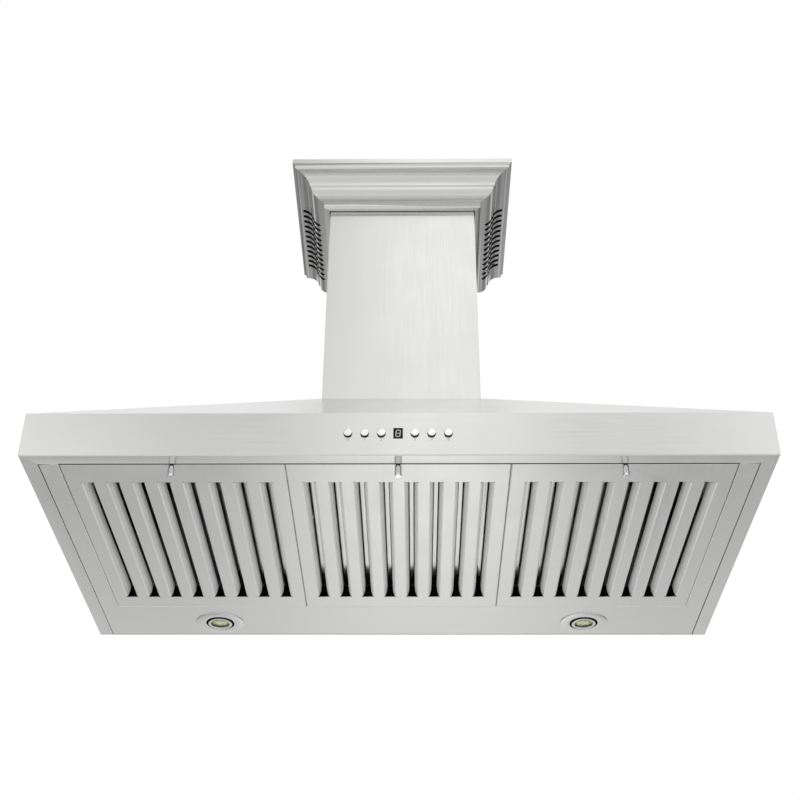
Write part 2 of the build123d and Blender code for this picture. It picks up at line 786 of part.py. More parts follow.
def make_blower():
    top = slope_top - sheet
    shell = along_x(scroll_outline(0.0), -blower_x, 0.0)
    shell -= along_x(scroll_outline(blower_wall), -blower_x + blower_wall, 1.0)
    flange = block(-blower_x - neck_flange, 0.0, blower_y - neck_front - neck_flange,
                   blower_y + neck_rear + neck_flange, top - blower_wall, top)
    flange -= block(-blower_x + blower_wall, 1.0, blower_y - neck_front + blower_wall,
                    blower_y + neck_rear - blower_wall, top - 5.0, top + 1.0)
    shell += flange
    centre = (blower_y, blower_z)
    shell += rod(inlet_radius + inlet_lip, (-blower_x - inlet_lip, *centre), (-blower_x, *centre))
    shell -= rod(inlet_radius, (-blower_x - 2 * inlet_lip, *centre), (-blower_x + 3.0, *centre))
    for x, y in blower_screw_places():
        shell -= rod(screw_radius, (x, y, top - 5.0), (x, y, top + 1.0))
    save("blower_housing_left", shell)
    save("blower_housing_right", right_of(shell))
    screws = []
    for x, y in blower_screw_places():
        head = rod(screw_head, (x, y, slope_top), (x, y, slope_top + screw_head_height))
        screws.append(head + rod(screw_radius, (x, y, top - blower_wall - 2.0), (x, y, slope_top)))
    save("blower_screws", *screws)


def blower_screw_places():
    x = blower_x + neck_flange / 2
    rows = (blower_y - neck_front - neck_flange / 2, blower_y + neck_rear + neck_flange / 2)
    return [(side * x, y) for side in (-1, 1) for y in rows]


def make_wheel():
    """Double-inlet wheel: a centre disc, two end rings and a hub, with curved-in blades."""
    blade_ring = wheel_radius - blade_chord * cos(radians(blade_angle))

    def disc(radius, x0, x1):
        return rod(radius, (x0, 0, 0), (x1, 0, 0))

    wheel = disc(wheel_radius, -wheel_ring / 2, wheel_ring / 2) + disc(hub_radius, -hub_half, hub_half)
    for side in (-1, 1):
        rim = disc(wheel_radius, side * wheel_half, side * (wheel_half - wheel_ring))
        wheel += rim - disc(blade_ring, side * (wheel_half + 1.0), side * (wheel_half - 2 * wheel_ring))
    blade = Pos(0, (wheel_radius + blade_ring) / 2, 0) * Rot(blade_angle, 0, 0) * Box(
        2 * wheel_half - wheel_ring, blade_chord * blade_share, blade_thickness)
    wheel += [Rot(360.0 * index / blade_count, 0, 0) * blade for index in range(blade_count)]
    wheel -= disc(shaft_radius, -20.0, 20.0)
    place = Pos(0, blower_y, blower_z)
    save("blower_wheel", place * wheel)
    shaft_end = motor_start + motor_bore_depth - 2.0
    save("motor_shaft", place * disc(shaft_radius, -hub_half - 3.0, shaft_end))


def make_motor():
    place = Pos(0, blower_y, blower_z)
    end = motor_start + motor_length
    can = rod(motor_radius, (motor_start, 0, 0), (end, 0, 0))
    can = fillet(can.edges(), motor_round)
    can -= rod(shaft_radius + shaft_gap, (motor_start - 1.0, 0, 0), (motor_start + motor_bore_depth, 0, 0))
    save("motor", place * can)
    plate = blower_x + inlet_lip
    hub = motor_radius + spider_ring
    spider = rod(hub, (plate, 0, 0), (plate + spider_sheet, 0, 0))
    for index in range(spider_arms):
        arm = block(plate, plate + spider_sheet, -spider_arm / 2, spider_arm / 2, 0.0, spider_foot)
        tip = block(plate - inlet_lip, plate, -spider_arm / 2, spider_arm / 2, inlet_radius + inlet_lip + 1.0,
                    spider_foot)
        spider += [Rot(90.0 + 360.0 / spider_arms * index, 0, 0) * piece for piece in (arm, tip)]
    spider -= rod(motor_radius, (plate - 5.0, 0, 0), (plate + 5.0, 0, 0))
    save("motor_spider", place * spider)


# ---- duct collar and damper ----
def make_collar():
    place = Pos(0, blower_y, collar_z)
    inner = duct_radius - duct_wall
    ledge_top = damper_height - flap_sheet / 2 - ledge_gap
    collar = turned((inner, 0.0), (duct_radius + duct_flange, 0.0), (duct_radius + duct_flange, duct_wall),
                    (duct_radius, duct_wall), (duct_radius, duct_height), (inner, duct_height),
                    (inner, ledge_top), (inner - ledge_reach, ledge_top),
                    (inner - ledge_reach, ledge_top - 1.0), (inner, ledge_top - 1.0))
    collar -= block(-barrel_radius - 1.0, barrel_radius + 1.0, -inner + 0.2, inner - 0.2,
                    ledge_top - 2.0, ledge_top + 1.0)
    collar -= rod(pin_radius, (0, -duct_radius - 1, damper_height), (0, duct_radius + 1, damper_height))
    save("duct_collar", place * collar)
    pin_end = duct_radius - 0.1
    save("damper_pin", place * rod(pin_radius, (0, -pin_end, damper_height), (0, pin_end, damper_height)))


def make_flaps():
    """Two half-round flaps on one pin, which rest on the collar's ledge."""
    place = Pos(0, blower_y, damper_z)
    disc = rod(flap_radius, (0, 0, -flap_sheet / 2), (0, 0, flap_sheet / 2))
    end, near, far = flap_radius - barrel_inset, barrel_split - barrel_gap, barrel_split + barrel_gap
    barrels = {"left": [(-end, -far), (far, end)], "right": [(-near, near)]}
    for name, side in (("left", -1), ("right", 1)):
        rim = side * (flap_radius + 5.0)
        flap = disc & block(side * flap_start, rim, -flap_radius, flap_radius, -2.0, 2.0)
        for y0, y1 in barrels[name]:
            flap += rod(barrel_radius, (0, y0, 0), (0, y1, 0))
            flap += block(0.0, side * (flap_start + 1.0), y0, y1, -flap_sheet / 2, flap_sheet / 2)
        flap -= rod(pin_radius + pin_gap, (0, -flap_radius, 0), (0, flap_radius, 0))
        save("damper_flap_" + name, place * flap)


# ---- wiring ----
def make_wiring():
    wall = -sheet
    x0, x1 = gland_x - box_width / 2, gland_x + box_width / 2
    z0, z1 = gland_z - box_height / 2, gland_z + box_height / 2
    shell = block(x0, x1, wall - box_depth, wall, z0, z1)
    shell -= block(x0 + box_wall, x1 - box_wall, wall - box_depth - 1.0, wall - box_wall,
                   z0 + box_wall, z1 - box_wall)
    shell -= rod(gland_radius, (gland_x, wall - box_wall - 1.0, gland_z), (gland_x, 1.0, gland_z))
    save("junction_box", shell)
    lid = block(x0, x1, wall - box_depth - box_wall, wall - box_depth, z0, z1)
    lid = fillet(lid.edges().filter_by(Axis.Y), 2.0)
    save("junction_lid", lid)
    gland = rod(gland_radius, (gland_x, -gland_length, gland_z), (gland_x, 0.0, gland_z))
    gland += rod(gland_head, (gland_x, wall - box_wall - 3.0, gland_z), (gland_x, wall - box_wall, gland_z))
    gland -= rod(gland_bore, (gland_x, -gland_length - 1.0, gland_z), (gland_x, 1.0, gland_z))
    save("cable_gland", gland)
    y = wall - capacitor_radius - 1.0
    can = rod(capacitor_radius, (capacitor_x, y, blower_z - capacitor_length / 2),
              (capacitor_x, y, blower_z + capacitor_length / 2))
    reach = capacitor_radius + capacitor_tab
    strap = block(capacitor_x - reach, capacitor_x + reach, wall - capacitor_strap, wall,
                  blower_z - capacitor_tab, blower_z + capacitor_tab)
    save("capacitor", fillet(can.edges(), 1.5) + strap)


os.makedirs("parts", exist_ok=True)
make_fascia()
make_slopes()
make_back_panel()
make_top_plate()
make_base_panel()
make_filter_catches()
make_lower_chimney()
make_chimney_rests()
make_upper_chimney()
make_crown()
make_crown_brackets()
make_filters()
make_lamps()
make_controls()
make_blower()
make_wheel()
make_motor()
make_collar()
make_flaps()
make_wiring()
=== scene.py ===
from math import cos, pi, radians, sin

import bmesh
import bpy
from mathutils import Matrix, Vector


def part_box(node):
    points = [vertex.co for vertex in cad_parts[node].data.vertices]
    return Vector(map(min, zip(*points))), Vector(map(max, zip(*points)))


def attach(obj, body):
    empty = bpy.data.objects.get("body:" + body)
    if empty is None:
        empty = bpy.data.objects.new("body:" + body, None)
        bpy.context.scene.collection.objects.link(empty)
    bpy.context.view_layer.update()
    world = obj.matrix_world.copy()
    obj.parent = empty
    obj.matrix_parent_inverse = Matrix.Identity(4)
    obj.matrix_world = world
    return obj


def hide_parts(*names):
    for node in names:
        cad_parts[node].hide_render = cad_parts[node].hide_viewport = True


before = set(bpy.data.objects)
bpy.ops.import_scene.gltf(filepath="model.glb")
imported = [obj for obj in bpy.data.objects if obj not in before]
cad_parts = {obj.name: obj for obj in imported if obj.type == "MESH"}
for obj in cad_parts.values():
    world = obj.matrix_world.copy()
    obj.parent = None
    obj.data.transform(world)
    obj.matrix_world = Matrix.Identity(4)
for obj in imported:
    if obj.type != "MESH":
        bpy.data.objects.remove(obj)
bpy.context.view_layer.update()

bl_info = {
    "name": "Wall chimney hood",
    "version": (1, 0, 0),
    "blender": (4, 5, 0),
    "location": "View3D > Sidebar > Hood",
    "description": "Finishes, fixings and fine parts of a wall-hung chimney range hood",
    "category": "Object",
}

MM = 0.001
BUTTONS = ["power", "speed_1", "speed_2", "speed_3", "speed_4", "lamp"]
FILTERS = ["left", "middle", "right"]
SIDES = ["left", "right"]

PLATE = 0.04 * MM                  # thickness of the digit's segments and the printed signs
MARK_DROP = 9.0 * MM               # from a button's middle down to its mark
WHEEL_SHEET = 1.2 * MM
HUB_RADIUS, HUB_HALF = 10 * MM, 9 * MM
SHAFT_BORE = 4.05 * MM
FLOOR_SIDE, FLOOR_FRONT, FLOOR_REAR = 1.9, -2.3, 1.3
OVERHEAD_PLACE, OVERHEAD_WATTS, OVERHEAD_SIZE = (-0.3, 0.3, 3.2), 18.0, 2.4
CAMERA_PLACE = (0.0206, -1.8249, -0.8364)
CAMERA_PITCH, CAMERA_YAW, CAMERA_ROLL = radians(34.64), -0.014, 0.006
LENS_MM, SENSOR_MM = 59.75, 36.0


def linear(hex_colour):
    """sRGB hex colour as a linear RGBA tuple."""
    shares = [int(hex_colour[i:i + 2], 16) / 255 for i in (1, 3, 5)]
    return tuple(c / 12.92 if c <= 0.04045 else ((c + 0.055) / 1.055) ** 2.4 for c in shares) + (1.0,)


def colour_property(name, description, hex_colour):
    """A colour that the user can change in the sidebar."""
    return bpy.props.FloatVectorProperty(name=name, description=description, subtype="COLOR", size=4,
                                         min=0.0, max=1.0, default=linear(hex_colour))


def length_property(name, description, metres):
    """A length that the user can change in the sidebar."""
    return bpy.props.FloatProperty(name=name, description=description, unit="LENGTH", min=0.0, precision=5,
                                   default=metres)


class HoodColours(bpy.types.PropertyGroup):
    """Colours of the hood's finishes."""
    steel: colour_property("Stainless steel", "Brushed sheet of the canopy, chimney and filters", "#E0E0DF")
    # Painted light: this lighter copy of the steel colour brightens the slot walls for the light that
    # reaches into the slots.
    satin: colour_property("Drawn steel", "Dull satin of the pressed slot edges", "#F6F6F5")
    zinc: colour_property("Galvanised steel", "Zinc-coated sheet of the hidden parts", "#BFC3C5")
    spring: colour_property("Spring steel", "Bright strip and screws", "#BDBDBF")
    chrome: colour_property("Chrome", "Plated buttons and knobs", "#F0F0F1")
    aluminium: colour_property("Aluminium", "Satin cast lamp bodies", "#E6E6E4")
    wheel: colour_property("Wheel aluminium", "Mill-finish sheet of the blower wheel", "#CDCED1")
    # Also painted shade on the lamp rings' sleeves and the lamp bodies' bezel walls.
    enamel: colour_property("Motor enamel", "Stoved black paint on the motor", "#1D1D1F")
    glass: colour_property("Lamp glass", "Lens over the lamp", "#F2F4DA")
    phosphor: colour_property("Lamp emitter", "Olive-yellow coating of the unlit emitter", "#2E2D16")
    display: colour_property("Display", "Gloss black window of the display", "#0B0B0D")
    digit: colour_property("Display digit", "Milky light pipes of the digit", "#D8D8DA")
    # Painted shade: this near-black is the shade behind the crown's vents, inside the filters and along the
    # front gap.
    scale: colour_property("Mill scale", "Dark inner sides of crown and filters, and the seals", "#131314")
    # Also painted shade on the buttons' side walls.
    nylon: colour_property("Black nylon", "Moulded housing and cable gland", "#1B1B1B")
    board: colour_property("Solder mask", "Green coat of the circuit board", "#1F6B3E")
    ink: colour_property("Marking ink", "Grey print below the buttons", "#9A9A9B")


class HoodSizes(bpy.types.PropertyGroup):
    """Sizes of the fine detail."""
    scratch_width: length_property("Scratch width", "Width of one brushed streak", 1.3 * MM)
    scratch_length: length_property("Scratch length", "Length of one brushed streak", 90 * MM)
    spangle: length_property("Spangle", "Size of one zinc crystal", 14 * MM)
    screw_head: length_property("Screw head", "Radius of a screw's head", 3.6 * MM)
    screw_rise: length_property("Screw head height", "Height of a screw's head", 2.2 * MM)
    screw_shank: length_property("Screw shank", "Radius of a screw's thread", 2.0 * MM)
    screw_recess: length_property("Screw recess", "Width of each arm of the cross", 0.9 * MM)
    blades: bpy.props.IntProperty(name="Blades", description="Blades round the blower wheel", min=3,
                                  default=36)
    blade_chord: length_property("Blade chord", "Width of a wheel blade", 13 * MM)
    facets: bpy.props.IntProperty(name="Facets", description="Facets round a lamp's reflector", min=6,
                                  default=14)
    mark_height: length_property("Mark height", "Height of the marks below the buttons", 3.4 * MM)
    floor_drop: length_property("Floor", "Floor below the underside of the hood", 1.65)


def colours():
    return bpy.context.scene.hood_colours


def sizes():
    return bpy.context.scene.hood_sizes


# ---- nodes and materials ----
def add(tree, kind, inputs=None, **settings):
    """Add a node, with its settings; an input is a value, a socket or a list of sockets to link."""
    node = tree.nodes.new(kind)
    for name, value in settings.items():
        setattr(node, name, value)
    for key, value in (inputs or {}).items():
        for item in value if isinstance(value, list) else [value]:
            if isinstance(item, bpy.types.NodeSocket):
                tree.links.new(item, node.inputs[key])
            else:
                node.inputs[key].default_value = item
    return node


def maths(tree, first, second, operation="MULTIPLY"):
    """Result of a maths node on two values or sockets."""
    return add(tree, "ShaderNodeMath", {0: first, 1: second}, operation=operation).outputs[0]


def upward(tree, height):
    """Vector of this height along z."""
    return add(tree, "ShaderNodeCombineXYZ", {2: height}).outputs[0]


def moved(tree, geometry, shift):
    """Geometry moved by a vector."""
    return add(tree, "GeometryNodeTransform", {"Geometry": geometry, "Translation": shift}).outputs[0]


def new_material(name):
    """Empty node material, and the socket of its object coordinates."""
    material = bpy.data.materials.new(name)
    material.use_nodes = True
    material.node_tree.nodes.clear()
    place = add(material.node_tree, "ShaderNodeTexCoord").outputs["Object"]
    return material, material.node_tree, place


def close(material, inputs):
    """Join a principled shader with these inputs to the material's output."""
    tree = material.node_tree
    shader = add(tree, "ShaderNodeBsdfPrincipled", inputs)
    add(tree, "ShaderNodeOutputMaterial", {"Surface": shader.outputs[0]})
    return material


def speckle(tree, place, scale, detail, low, high, stretch=(1.0, 1.0, 1.0)):
    """Noise of a real feature size, spread between two values; gives its raw and spread sockets."""
    mapped = add(tree, "ShaderNodeMapping", {"Vector": place, "Scale": stretch}).outputs[0]
    noise = add(tree, "ShaderNodeTexNoise", {"Vector": mapped, "Scale": scale, "Detail": detail}).outputs[0]
    spread = add(tree, "ShaderNodeMapRange", {"Value": noise, "From Min": 0.3, "From Max": 0.7,
                                              "To Min": low, "To Max": high}).outputs[0]
    return noise, spread


def shade(tree, factor, colour, low, high):
    """The colour times a factor that runs from low to high."""
    dark, light = (tuple(c * k for c in colour[:3]) + (1.0,) for k in (low, high))
    return add(tree, "ShaderNodeMix", {0: factor, 6: dark, 7: light}, data_type="RGBA").outputs[2]


def bump(tree, height, depth):
    """Bump of a real depth in metres."""
    return add(tree, "ShaderNodeBump", {"Height": height, "Distance": depth, "Strength": 1.0}).outputs[0]


def sheet_steel(name, colour, grain, rough, depth, width, length, tone=0.03):
    """Metal whose surface is covered in fine parallel scratches along one axis."""
    if name in bpy.data.materials:
        return bpy.data.materials[name]
    material, tree, place = new_material(name)
    stretch = [1 / width] * 3
    stretch["XYZ".index(grain)] = 1 / length
    raw, spread = speckle(tree, place, 1.0, 3.0, 0.0, 1.0, tuple(stretch))
    smudge = speckle(tree, place, 1 / (70 * MM), 2.0, -0.02, 0.02)[1]
    scratched = add(tree, "ShaderNodeMapRange", {"Value": spread, "To Min": rough * 0.85,
                                                 "To Max": rough * 1.15}).outputs[0]
    roughness = maths(tree, scratched, smudge, "ADD")
    return close(material, {"Base Color": shade(tree, spread, colour, 1 - tone, 1.0), "Metallic": 1.0,
                            "Roughness": roughness, "Normal": bump(tree, raw, depth)})


def brushed_stainless(grain):
    """304 sheet, belt-brushed with 180 grit: scratches blur what it reflects, most of all across them.
    Real scratches are 0.1 mm wide, which is too fine to show, so they are drawn as wider streaks."""
    return sheet_steel("brushed_stainless_grain_" + grain, colours().steel, grain, 0.22, 0.005 * MM,
                       sizes().scratch_width, sizes().scratch_length, 0.014)


def satin_painted_light_steel():
    """The same sheet on the slot edges: a dull satin, partly real, and a lighter colour with a share of
    diffuse that is painted light for the light reaching into the slots.
    """
    return coated("drawn_satin_stainless", colours().satin, 0.60, 0.9 * MM, 0.02 * MM, low=0.96,
                  extra={"Metallic": 0.35})


def shade_black_steel():
    """Dark steel where the crown's inner sides, its straps and the filters' slot ends and rails lie in
    shade: painted shade, nearly black, dull and blotchy.
    """
    return coated("dark_mill_scale_steel", colours().scale, 0.6, 3 * MM, 0.03 * MM, low=0.7)


def shade_black_rubber():
    """Matt black sheet with fine drag lines, put behind the crown's vents and along the front gap where
    there is only shade: painted shade.
    """
    return coated("extruded_rubber_seal", colours().scale, 0.7, 0.6 * MM, 0.02 * MM, low=0.8)


def spring_steel():
    """Rolled carbon-steel strip, bright zinc plated: even mirror-grey with faint rolling lines."""
    return sheet_steel("rolled_spring_steel", colours().spring, "X", 0.24, 0.02 * MM, 0.6 * MM, 20 * MM)


def mill_aluminium():
    """Rolled aluminium as it left the mill: soft grey sheen with short rolling lines."""
    return sheet_steel("mill_finish_aluminium", colours().wheel, "Y", 0.36, 0.03 * MM, 0.8 * MM, 30 * MM)


def galvanised_steel():
    """Hot-dip galvanised sheet: zinc crystals of 10 to 20 mm, each with its own grey and gloss."""
    name = "hot_dip_galvanised_steel"
    if name in bpy.data.materials:
        return bpy.data.materials[name]
    material, tree, place = new_material(name)
    warp = add(tree, "ShaderNodeTexNoise", {"Vector": place, "Scale": 0.6 / sizes().spangle, "Detail": 2.0})
    bent = add(tree, "ShaderNodeVectorMath", {0: warp.outputs["Color"], 1: (6 * MM, 6 * MM, 6 * MM)},
               operation="MULTIPLY").outputs[0]
    shifted = add(tree, "ShaderNodeVectorMath", {0: place, 1: bent}, operation="ADD").outputs[0]
    crystals = add(tree, "ShaderNodeTexVoronoi", {"Vector": shifted, "Scale": 1 / sizes().spangle})
    grey = add(tree, "ShaderNodeSeparateColor", {"Color": crystals.outputs["Color"]}).outputs[0]
    roughness = add(tree, "ShaderNodeMapRange", {"Value": grey, "To Min": 0.34, "To Max": 0.50}).outputs[0]
    raw = speckle(tree, place, 1 / (1.2 * MM), 3.0, 0.0, 1.0)[0]
    return close(material, {"Base Color": shade(tree, grey, colours().zinc, 0.80, 1.0), "Metallic": 1.0,
                            "Roughness": roughness, "Normal": bump(tree, raw, 0.03 * MM)})


def even_metal(name, colour, grain, detail, rough, low, depth=0.0):
    """Bare metal with an even skin, whose roughness runs between two values over grains of a real size."""
    if name in bpy.data.materials:
        return bpy.data.materials[name]
    material, tree, place = new_material(name)
    raw, spread = speckle(tree, place, 1 / grain, detail, *rough)
    inputs = {"Base Color": shade(tree, raw, colour, low, 1.0), "Metallic": 1.0, "Roughness": spread}
    if depth:
        inputs["Normal"] = bump(tree, raw, depth)
    return close(material, inputs)


def polished_chrome():
    """Nickel-chrome plate on a turned part: a sharp mirror, faintly uneven."""
    return even_metal("polished_chrome_plate", colours().chrome, 0.9 * MM, 2.0, (0.06, 0.13), 0.97,
                      0.004 * MM)


def cast_aluminium():
    """Die-cast aluminium, shot-blasted and lacquered: a bright satin skin with a fine orange peel."""
    return even_metal("satin_cast_aluminium", colours().aluminium, 0.5 * MM, 4.0, (0.26, 0.38), 0.94,
                      0.03 * MM)


def mirror_facet():
    """Moulded reflector with evaporated aluminium: a warm mirror with a little haze."""
    return even_metal("vapour_plated_reflector", linear("#F4F2DC"), 2 * MM, 2.0, (0.10, 0.20), 0.95)


def coated(name, colour, rough, grain, depth, low=0.85, coat=0.0, extra=None):
    """Paint or moulded plastic with a fine texture of a real size."""
    if name in bpy.data.materials:
        return bpy.data.materials[name]
    material, tree, place = new_material(name)
    raw, spread = speckle(tree, place, 1 / grain, 3.0, rough * 0.85, rough * 1.15)
    inputs = {"Base Color": shade(tree, raw, colour, low, 1.0), "Roughness": spread, "IOR": 1.5,
              "Normal": bump(tree, raw, depth), "Coat Weight": coat}
    inputs.update(extra or {})
    return close(material, inputs)


def motor_enamel():
    """Stoved enamel over a drawn steel can: satin black with a slight orange peel."""
    return coated("stoved_black_enamel", colours().enamel, 0.36, 1.6 * MM, 0.05 * MM, coat=0.2)


def black_nylon():
    """Glass-filled nylon, injection moulded with a spark-eroded texture: deep matt black."""
    return coated("moulded_black_nylon", colours().nylon, 0.60, 0.35 * MM, 0.06 * MM)


def display_black():
    """Smoked acrylic window over the display: gloss black, almost no texture."""
    return coated("smoked_acrylic_window", colours().display, 0.16, 4 * MM, 0.004 * MM,
                  extra={"Specular IOR Level": 0.2})


def digit_white():
    """Milky light pipes behind the window, seen unlit but bright."""
    return coated("milky_light_pipe", colours().digit, 0.35, 0.8 * MM, 0.01 * MM, low=0.95)


def solder_mask():
    """Epoxy solder mask over copper tracks: green and half gloss."""
    return coated("green_solder_mask", colours().board, 0.33, 1.5 * MM, 0.02 * MM, low=0.7, coat=0.3)


def marking_ink():
    """Pad-printed grey ink: thin, flat and slightly uneven."""
    return coated("pad_printed_ink", colours().ink, 0.60, 0.4 * MM, 0.01 * MM, low=0.9)


def emitter_phosphor():
    """Silicone with phosphor over the lamp's chip: an olive yellow when it isn't lit."""
    return coated("phosphor_silicone", colours().phosphor, 0.45, 0.7 * MM, 0.05 * MM, low=0.75)


def lamp_glass():
    """Pressed soda-lime lens: clear with a slight green and a fine ripple."""
    name = "pressed_lens_glass"
    if name in bpy.data.materials:
        return bpy.data.materials[name]
    material, tree, place = new_material(name)
    raw, spread = speckle(tree, place, 1 / (2.5 * MM), 2.0, 0.03, 0.09)
    return close(material, {"Base Color": colours().glass, "Roughness": spread, "IOR": 1.5,
                            "Transmission Weight": 1.0, "Normal": bump(tree, raw, 0.02 * MM)})


# ---- meshes ----
def put(name, mesh, material, body, replaced=()):
    """Make a finished mesh a piece that rides on a body and stands for some CAD nodes."""
    mesh.materials.clear()
    mesh.materials.append(material)
    piece = bpy.data.objects.new(name, mesh)
    bpy.context.scene.collection.objects.link(piece)
    return claim(piece, body, replaced)


def claim(piece, body, replaced=()):
    """Say which body a piece rides on, and hide the CAD nodes that it stands for."""
    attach(piece, body)
    if replaced:
        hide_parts(*replaced)
    return piece


def plain_mesh(piece):
    """The mesh that a piece's modifiers give; the piece itself is removed."""
    depsgraph = bpy.context.evaluated_depsgraph_get()
    mesh = bpy.data.meshes.new_from_object(piece.evaluated_get(depsgraph), preserve_all_data_layers=True,
                                           depsgraph=depsgraph)
    bpy.data.objects.remove(piece)
    return mesh


def from_bmesh(name, work):
    """Turn a bmesh into a mesh with outward faces."""
    bmesh.ops.remove_doubles(work, verts=work.verts, dist=1e-6)
    bmesh.ops.recalc_face_normals(work, faces=work.faces)
    mesh = bpy.data.meshes.new(name)
    work.to_mesh(mesh)
    work.free()
    return mesh


def smoothed(mesh, angle=35.0):
    """Shade curves smooth and keep the creases that are sharper than the angle, with flats left flat."""
    mesh.shade_smooth()
    mesh.set_sharp_from_angle(angle=radians(angle))
    piece = bpy.data.objects.new("smoothing", mesh)
    bpy.context.scene.collection.objects.link(piece)
    weighted = piece.modifiers.new("weighted", "WEIGHTED_NORMAL")
    weighted.keep_sharp = True
    return plain_mesh(piece)


def finished(node, material, body="hood", angle=35.0, others=(), chosen=None):
    """Merged copy of a CAD node, shaded smooth over its curves, that stands for the node.
    chosen gives each face 0 for the first material or 1, 2 for one of the others."""
    work = bmesh.new()
    work.from_mesh(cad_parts[node].data)
    bmesh.ops.remove_doubles(work, verts=work.verts, dist=2e-6)
    mesh = bpy.data.meshes.new(node + "_finished")
    work.to_mesh(mesh)
    work.free()
    piece = put(node + "_finished", smoothed(mesh, angle), material, body, [node])
    for other in others:
        piece.data.materials.append(other)
    if others:
        for face in piece.data.polygons:
            face.material_index = int(chosen(face))
    return piece


def coat(node, material, slot):
    """Give a CAD node whose flat shape is right its material."""
    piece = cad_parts[node]
    piece.data.materials.clear()
    piece.data.materials.append(material)


def loose_parts(node):
    """Boxes round the separate solids of a CAD node, as (lowest, highest) corners."""
    work = bmesh.new()
    work.from_mesh(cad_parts[node].data)
    bmesh.ops.remove_doubles(work, verts=work.verts, dist=2e-6)
    left, boxes = set(work.verts), []
    while left:
        first = left.pop()
        group, edge = [first], [first]
        while edge:
            for link in edge.pop().link_edges:
                for vert in link.verts:
                    if vert in left:
                        left.remove(vert)
                        group.append(vert)
                        edge.append(vert)
        low = Vector(min(v.co[i] for v in group) for i in range(3))
        high = Vector(max(v.co[i] for v in group) for i in range(3))
        boxes.append((low, high))
    work.free()
    return sorted(boxes, key=lambda pair: tuple(round(c, 5) for c in pair[0]))


# ---- geometry node trees ----
def new_tree(name, inputs):
    """Geometry tree with named inputs, and its group input node."""
    tree = bpy.data.node_groups.new(name, "GeometryNodeTree")
    tree.interface.new_socket(name="Geometry", in_out="INPUT", socket_type="NodeSocketGeometry")
    for label, kind in inputs.items():
        tree.interface.new_socket(name=label, in_out="INPUT", socket_type="NodeSocket" + kind)
    tree.interface.new_socket(name="Geometry", in_out="OUTPUT", socket_type="NodeSocketGeometry")
    return tree, add(tree, "NodeGroupInput").outputs


def end_tree(tree, geometry, material):
    """End a tree in real meshes with a material."""
    real = add(tree, "GeometryNodeRealizeInstances", {"Geometry": geometry}).outputs[0]
    painted = add(tree, "GeometryNodeSetMaterial", {"Geometry": real, "Material": material}).outputs[0]
    add(tree, "NodeGroupOutput", {"Geometry": painted})


def grown(name, points, tree, values):
    """Mesh that a geometry tree gives on some points, with its inputs set by identifier."""
    mesh = bpy.data.meshes.new(name)
    mesh.from_pydata([tuple(point) for point in points], [], [])
    piece = bpy.data.objects.new(name, mesh)
    bpy.context.scene.collection.objects.link(piece)
    modifier = piece.modifiers.new("tree", "NODES")
    modifier.node_group = tree
    for item in tree.interface.items_tree:
        if item.in_out == "INPUT" and item.name in values:
            modifier[item.identifier] = values[item.name]
    return plain_mesh(piece)


def screw_tree(material):
    """A domed screw head with a cross recess and a plain shank, stood on every point along an axis."""
    tree, given = new_tree("cross_head_screws", {"Head Radius": "Float", "Head Height": "Float",
                                                 "Shank Radius": "Float", "Shank Length": "Float",
                                                 "Recess Width": "Float", "Axis": "Vector"})
    head = add(tree, "GeometryNodeMeshCylinder", {"Vertices": 28, "Side Segments": 2, "Fill Segments": 3,
                                                  "Radius": given["Head Radius"],
                                                  "Depth": given["Head Height"]}).outputs[0]
    where = add(tree, "GeometryNodeInputPosition").outputs[0]
    parts = add(tree, "ShaderNodeSeparateXYZ", {0: where}).outputs
    flat = add(tree, "ShaderNodeCombineXYZ", {0: parts[0], 1: parts[1]}).outputs[0]
    reach = add(tree, "ShaderNodeVectorMath", {0: flat}, operation="LENGTH").outputs[1]
    share = maths(tree, reach, given["Head Radius"], "DIVIDE")
    fall = maths(tree, share, 2.4, "POWER")
    drop = maths(tree, given["Head Height"], -0.6)
    sink = maths(tree, fall, drop)
    upper = maths(tree, parts[2], 0.0, "GREATER_THAN")
    lower = maths(tree, sink, upper)
    shift = upward(tree, lower)
    domed = add(tree, "GeometryNodeSetPosition", {"Geometry": head, "Offset": shift}).outputs[0]
    half = maths(tree, given["Head Height"], 0.5)
    arm = maths(tree, given["Head Radius"], 1.15)
    lift = upward(tree, half)
    arms = []
    for first, second in ((arm, given["Recess Width"]), (given["Recess Width"], arm)):
        size = add(tree, "ShaderNodeCombineXYZ", {0: first, 1: second, 2: given["Head Height"]}).outputs[0]
        bar = add(tree, "GeometryNodeMeshCube", {"Size": size}).outputs[0]
        arms.append(moved(tree, bar, lift))
    cut = add(tree, "GeometryNodeMeshBoolean", {"Mesh 1": domed, "Mesh 2": arms},
              operation="DIFFERENCE").outputs[0]
    raised = moved(tree, cut, lift)
    shank = add(tree, "GeometryNodeMeshCylinder", {"Vertices": 20, "Radius": given["Shank Radius"],
                                                   "Depth": given["Shank Length"]}).outputs[0]
    below = maths(tree, given["Shank Length"], -0.5)
    under = upward(tree, below)
    sunk = moved(tree, shank, under)
    screw = add(tree, "GeometryNodeJoinGeometry", {"Geometry": [raised, sunk]}).outputs[0]
    turn = add(tree, "FunctionNodeAlignRotationToVector", {"Vector": given["Axis"]}, axis="Z").outputs[0]
    placed = add(tree, "GeometryNodeInstanceOnPoints", {"Points": given["Geometry"], "Instance": screw,
                                                        "Rotation": turn}).outputs[0]
    end_tree(tree, placed, material)
    return tree


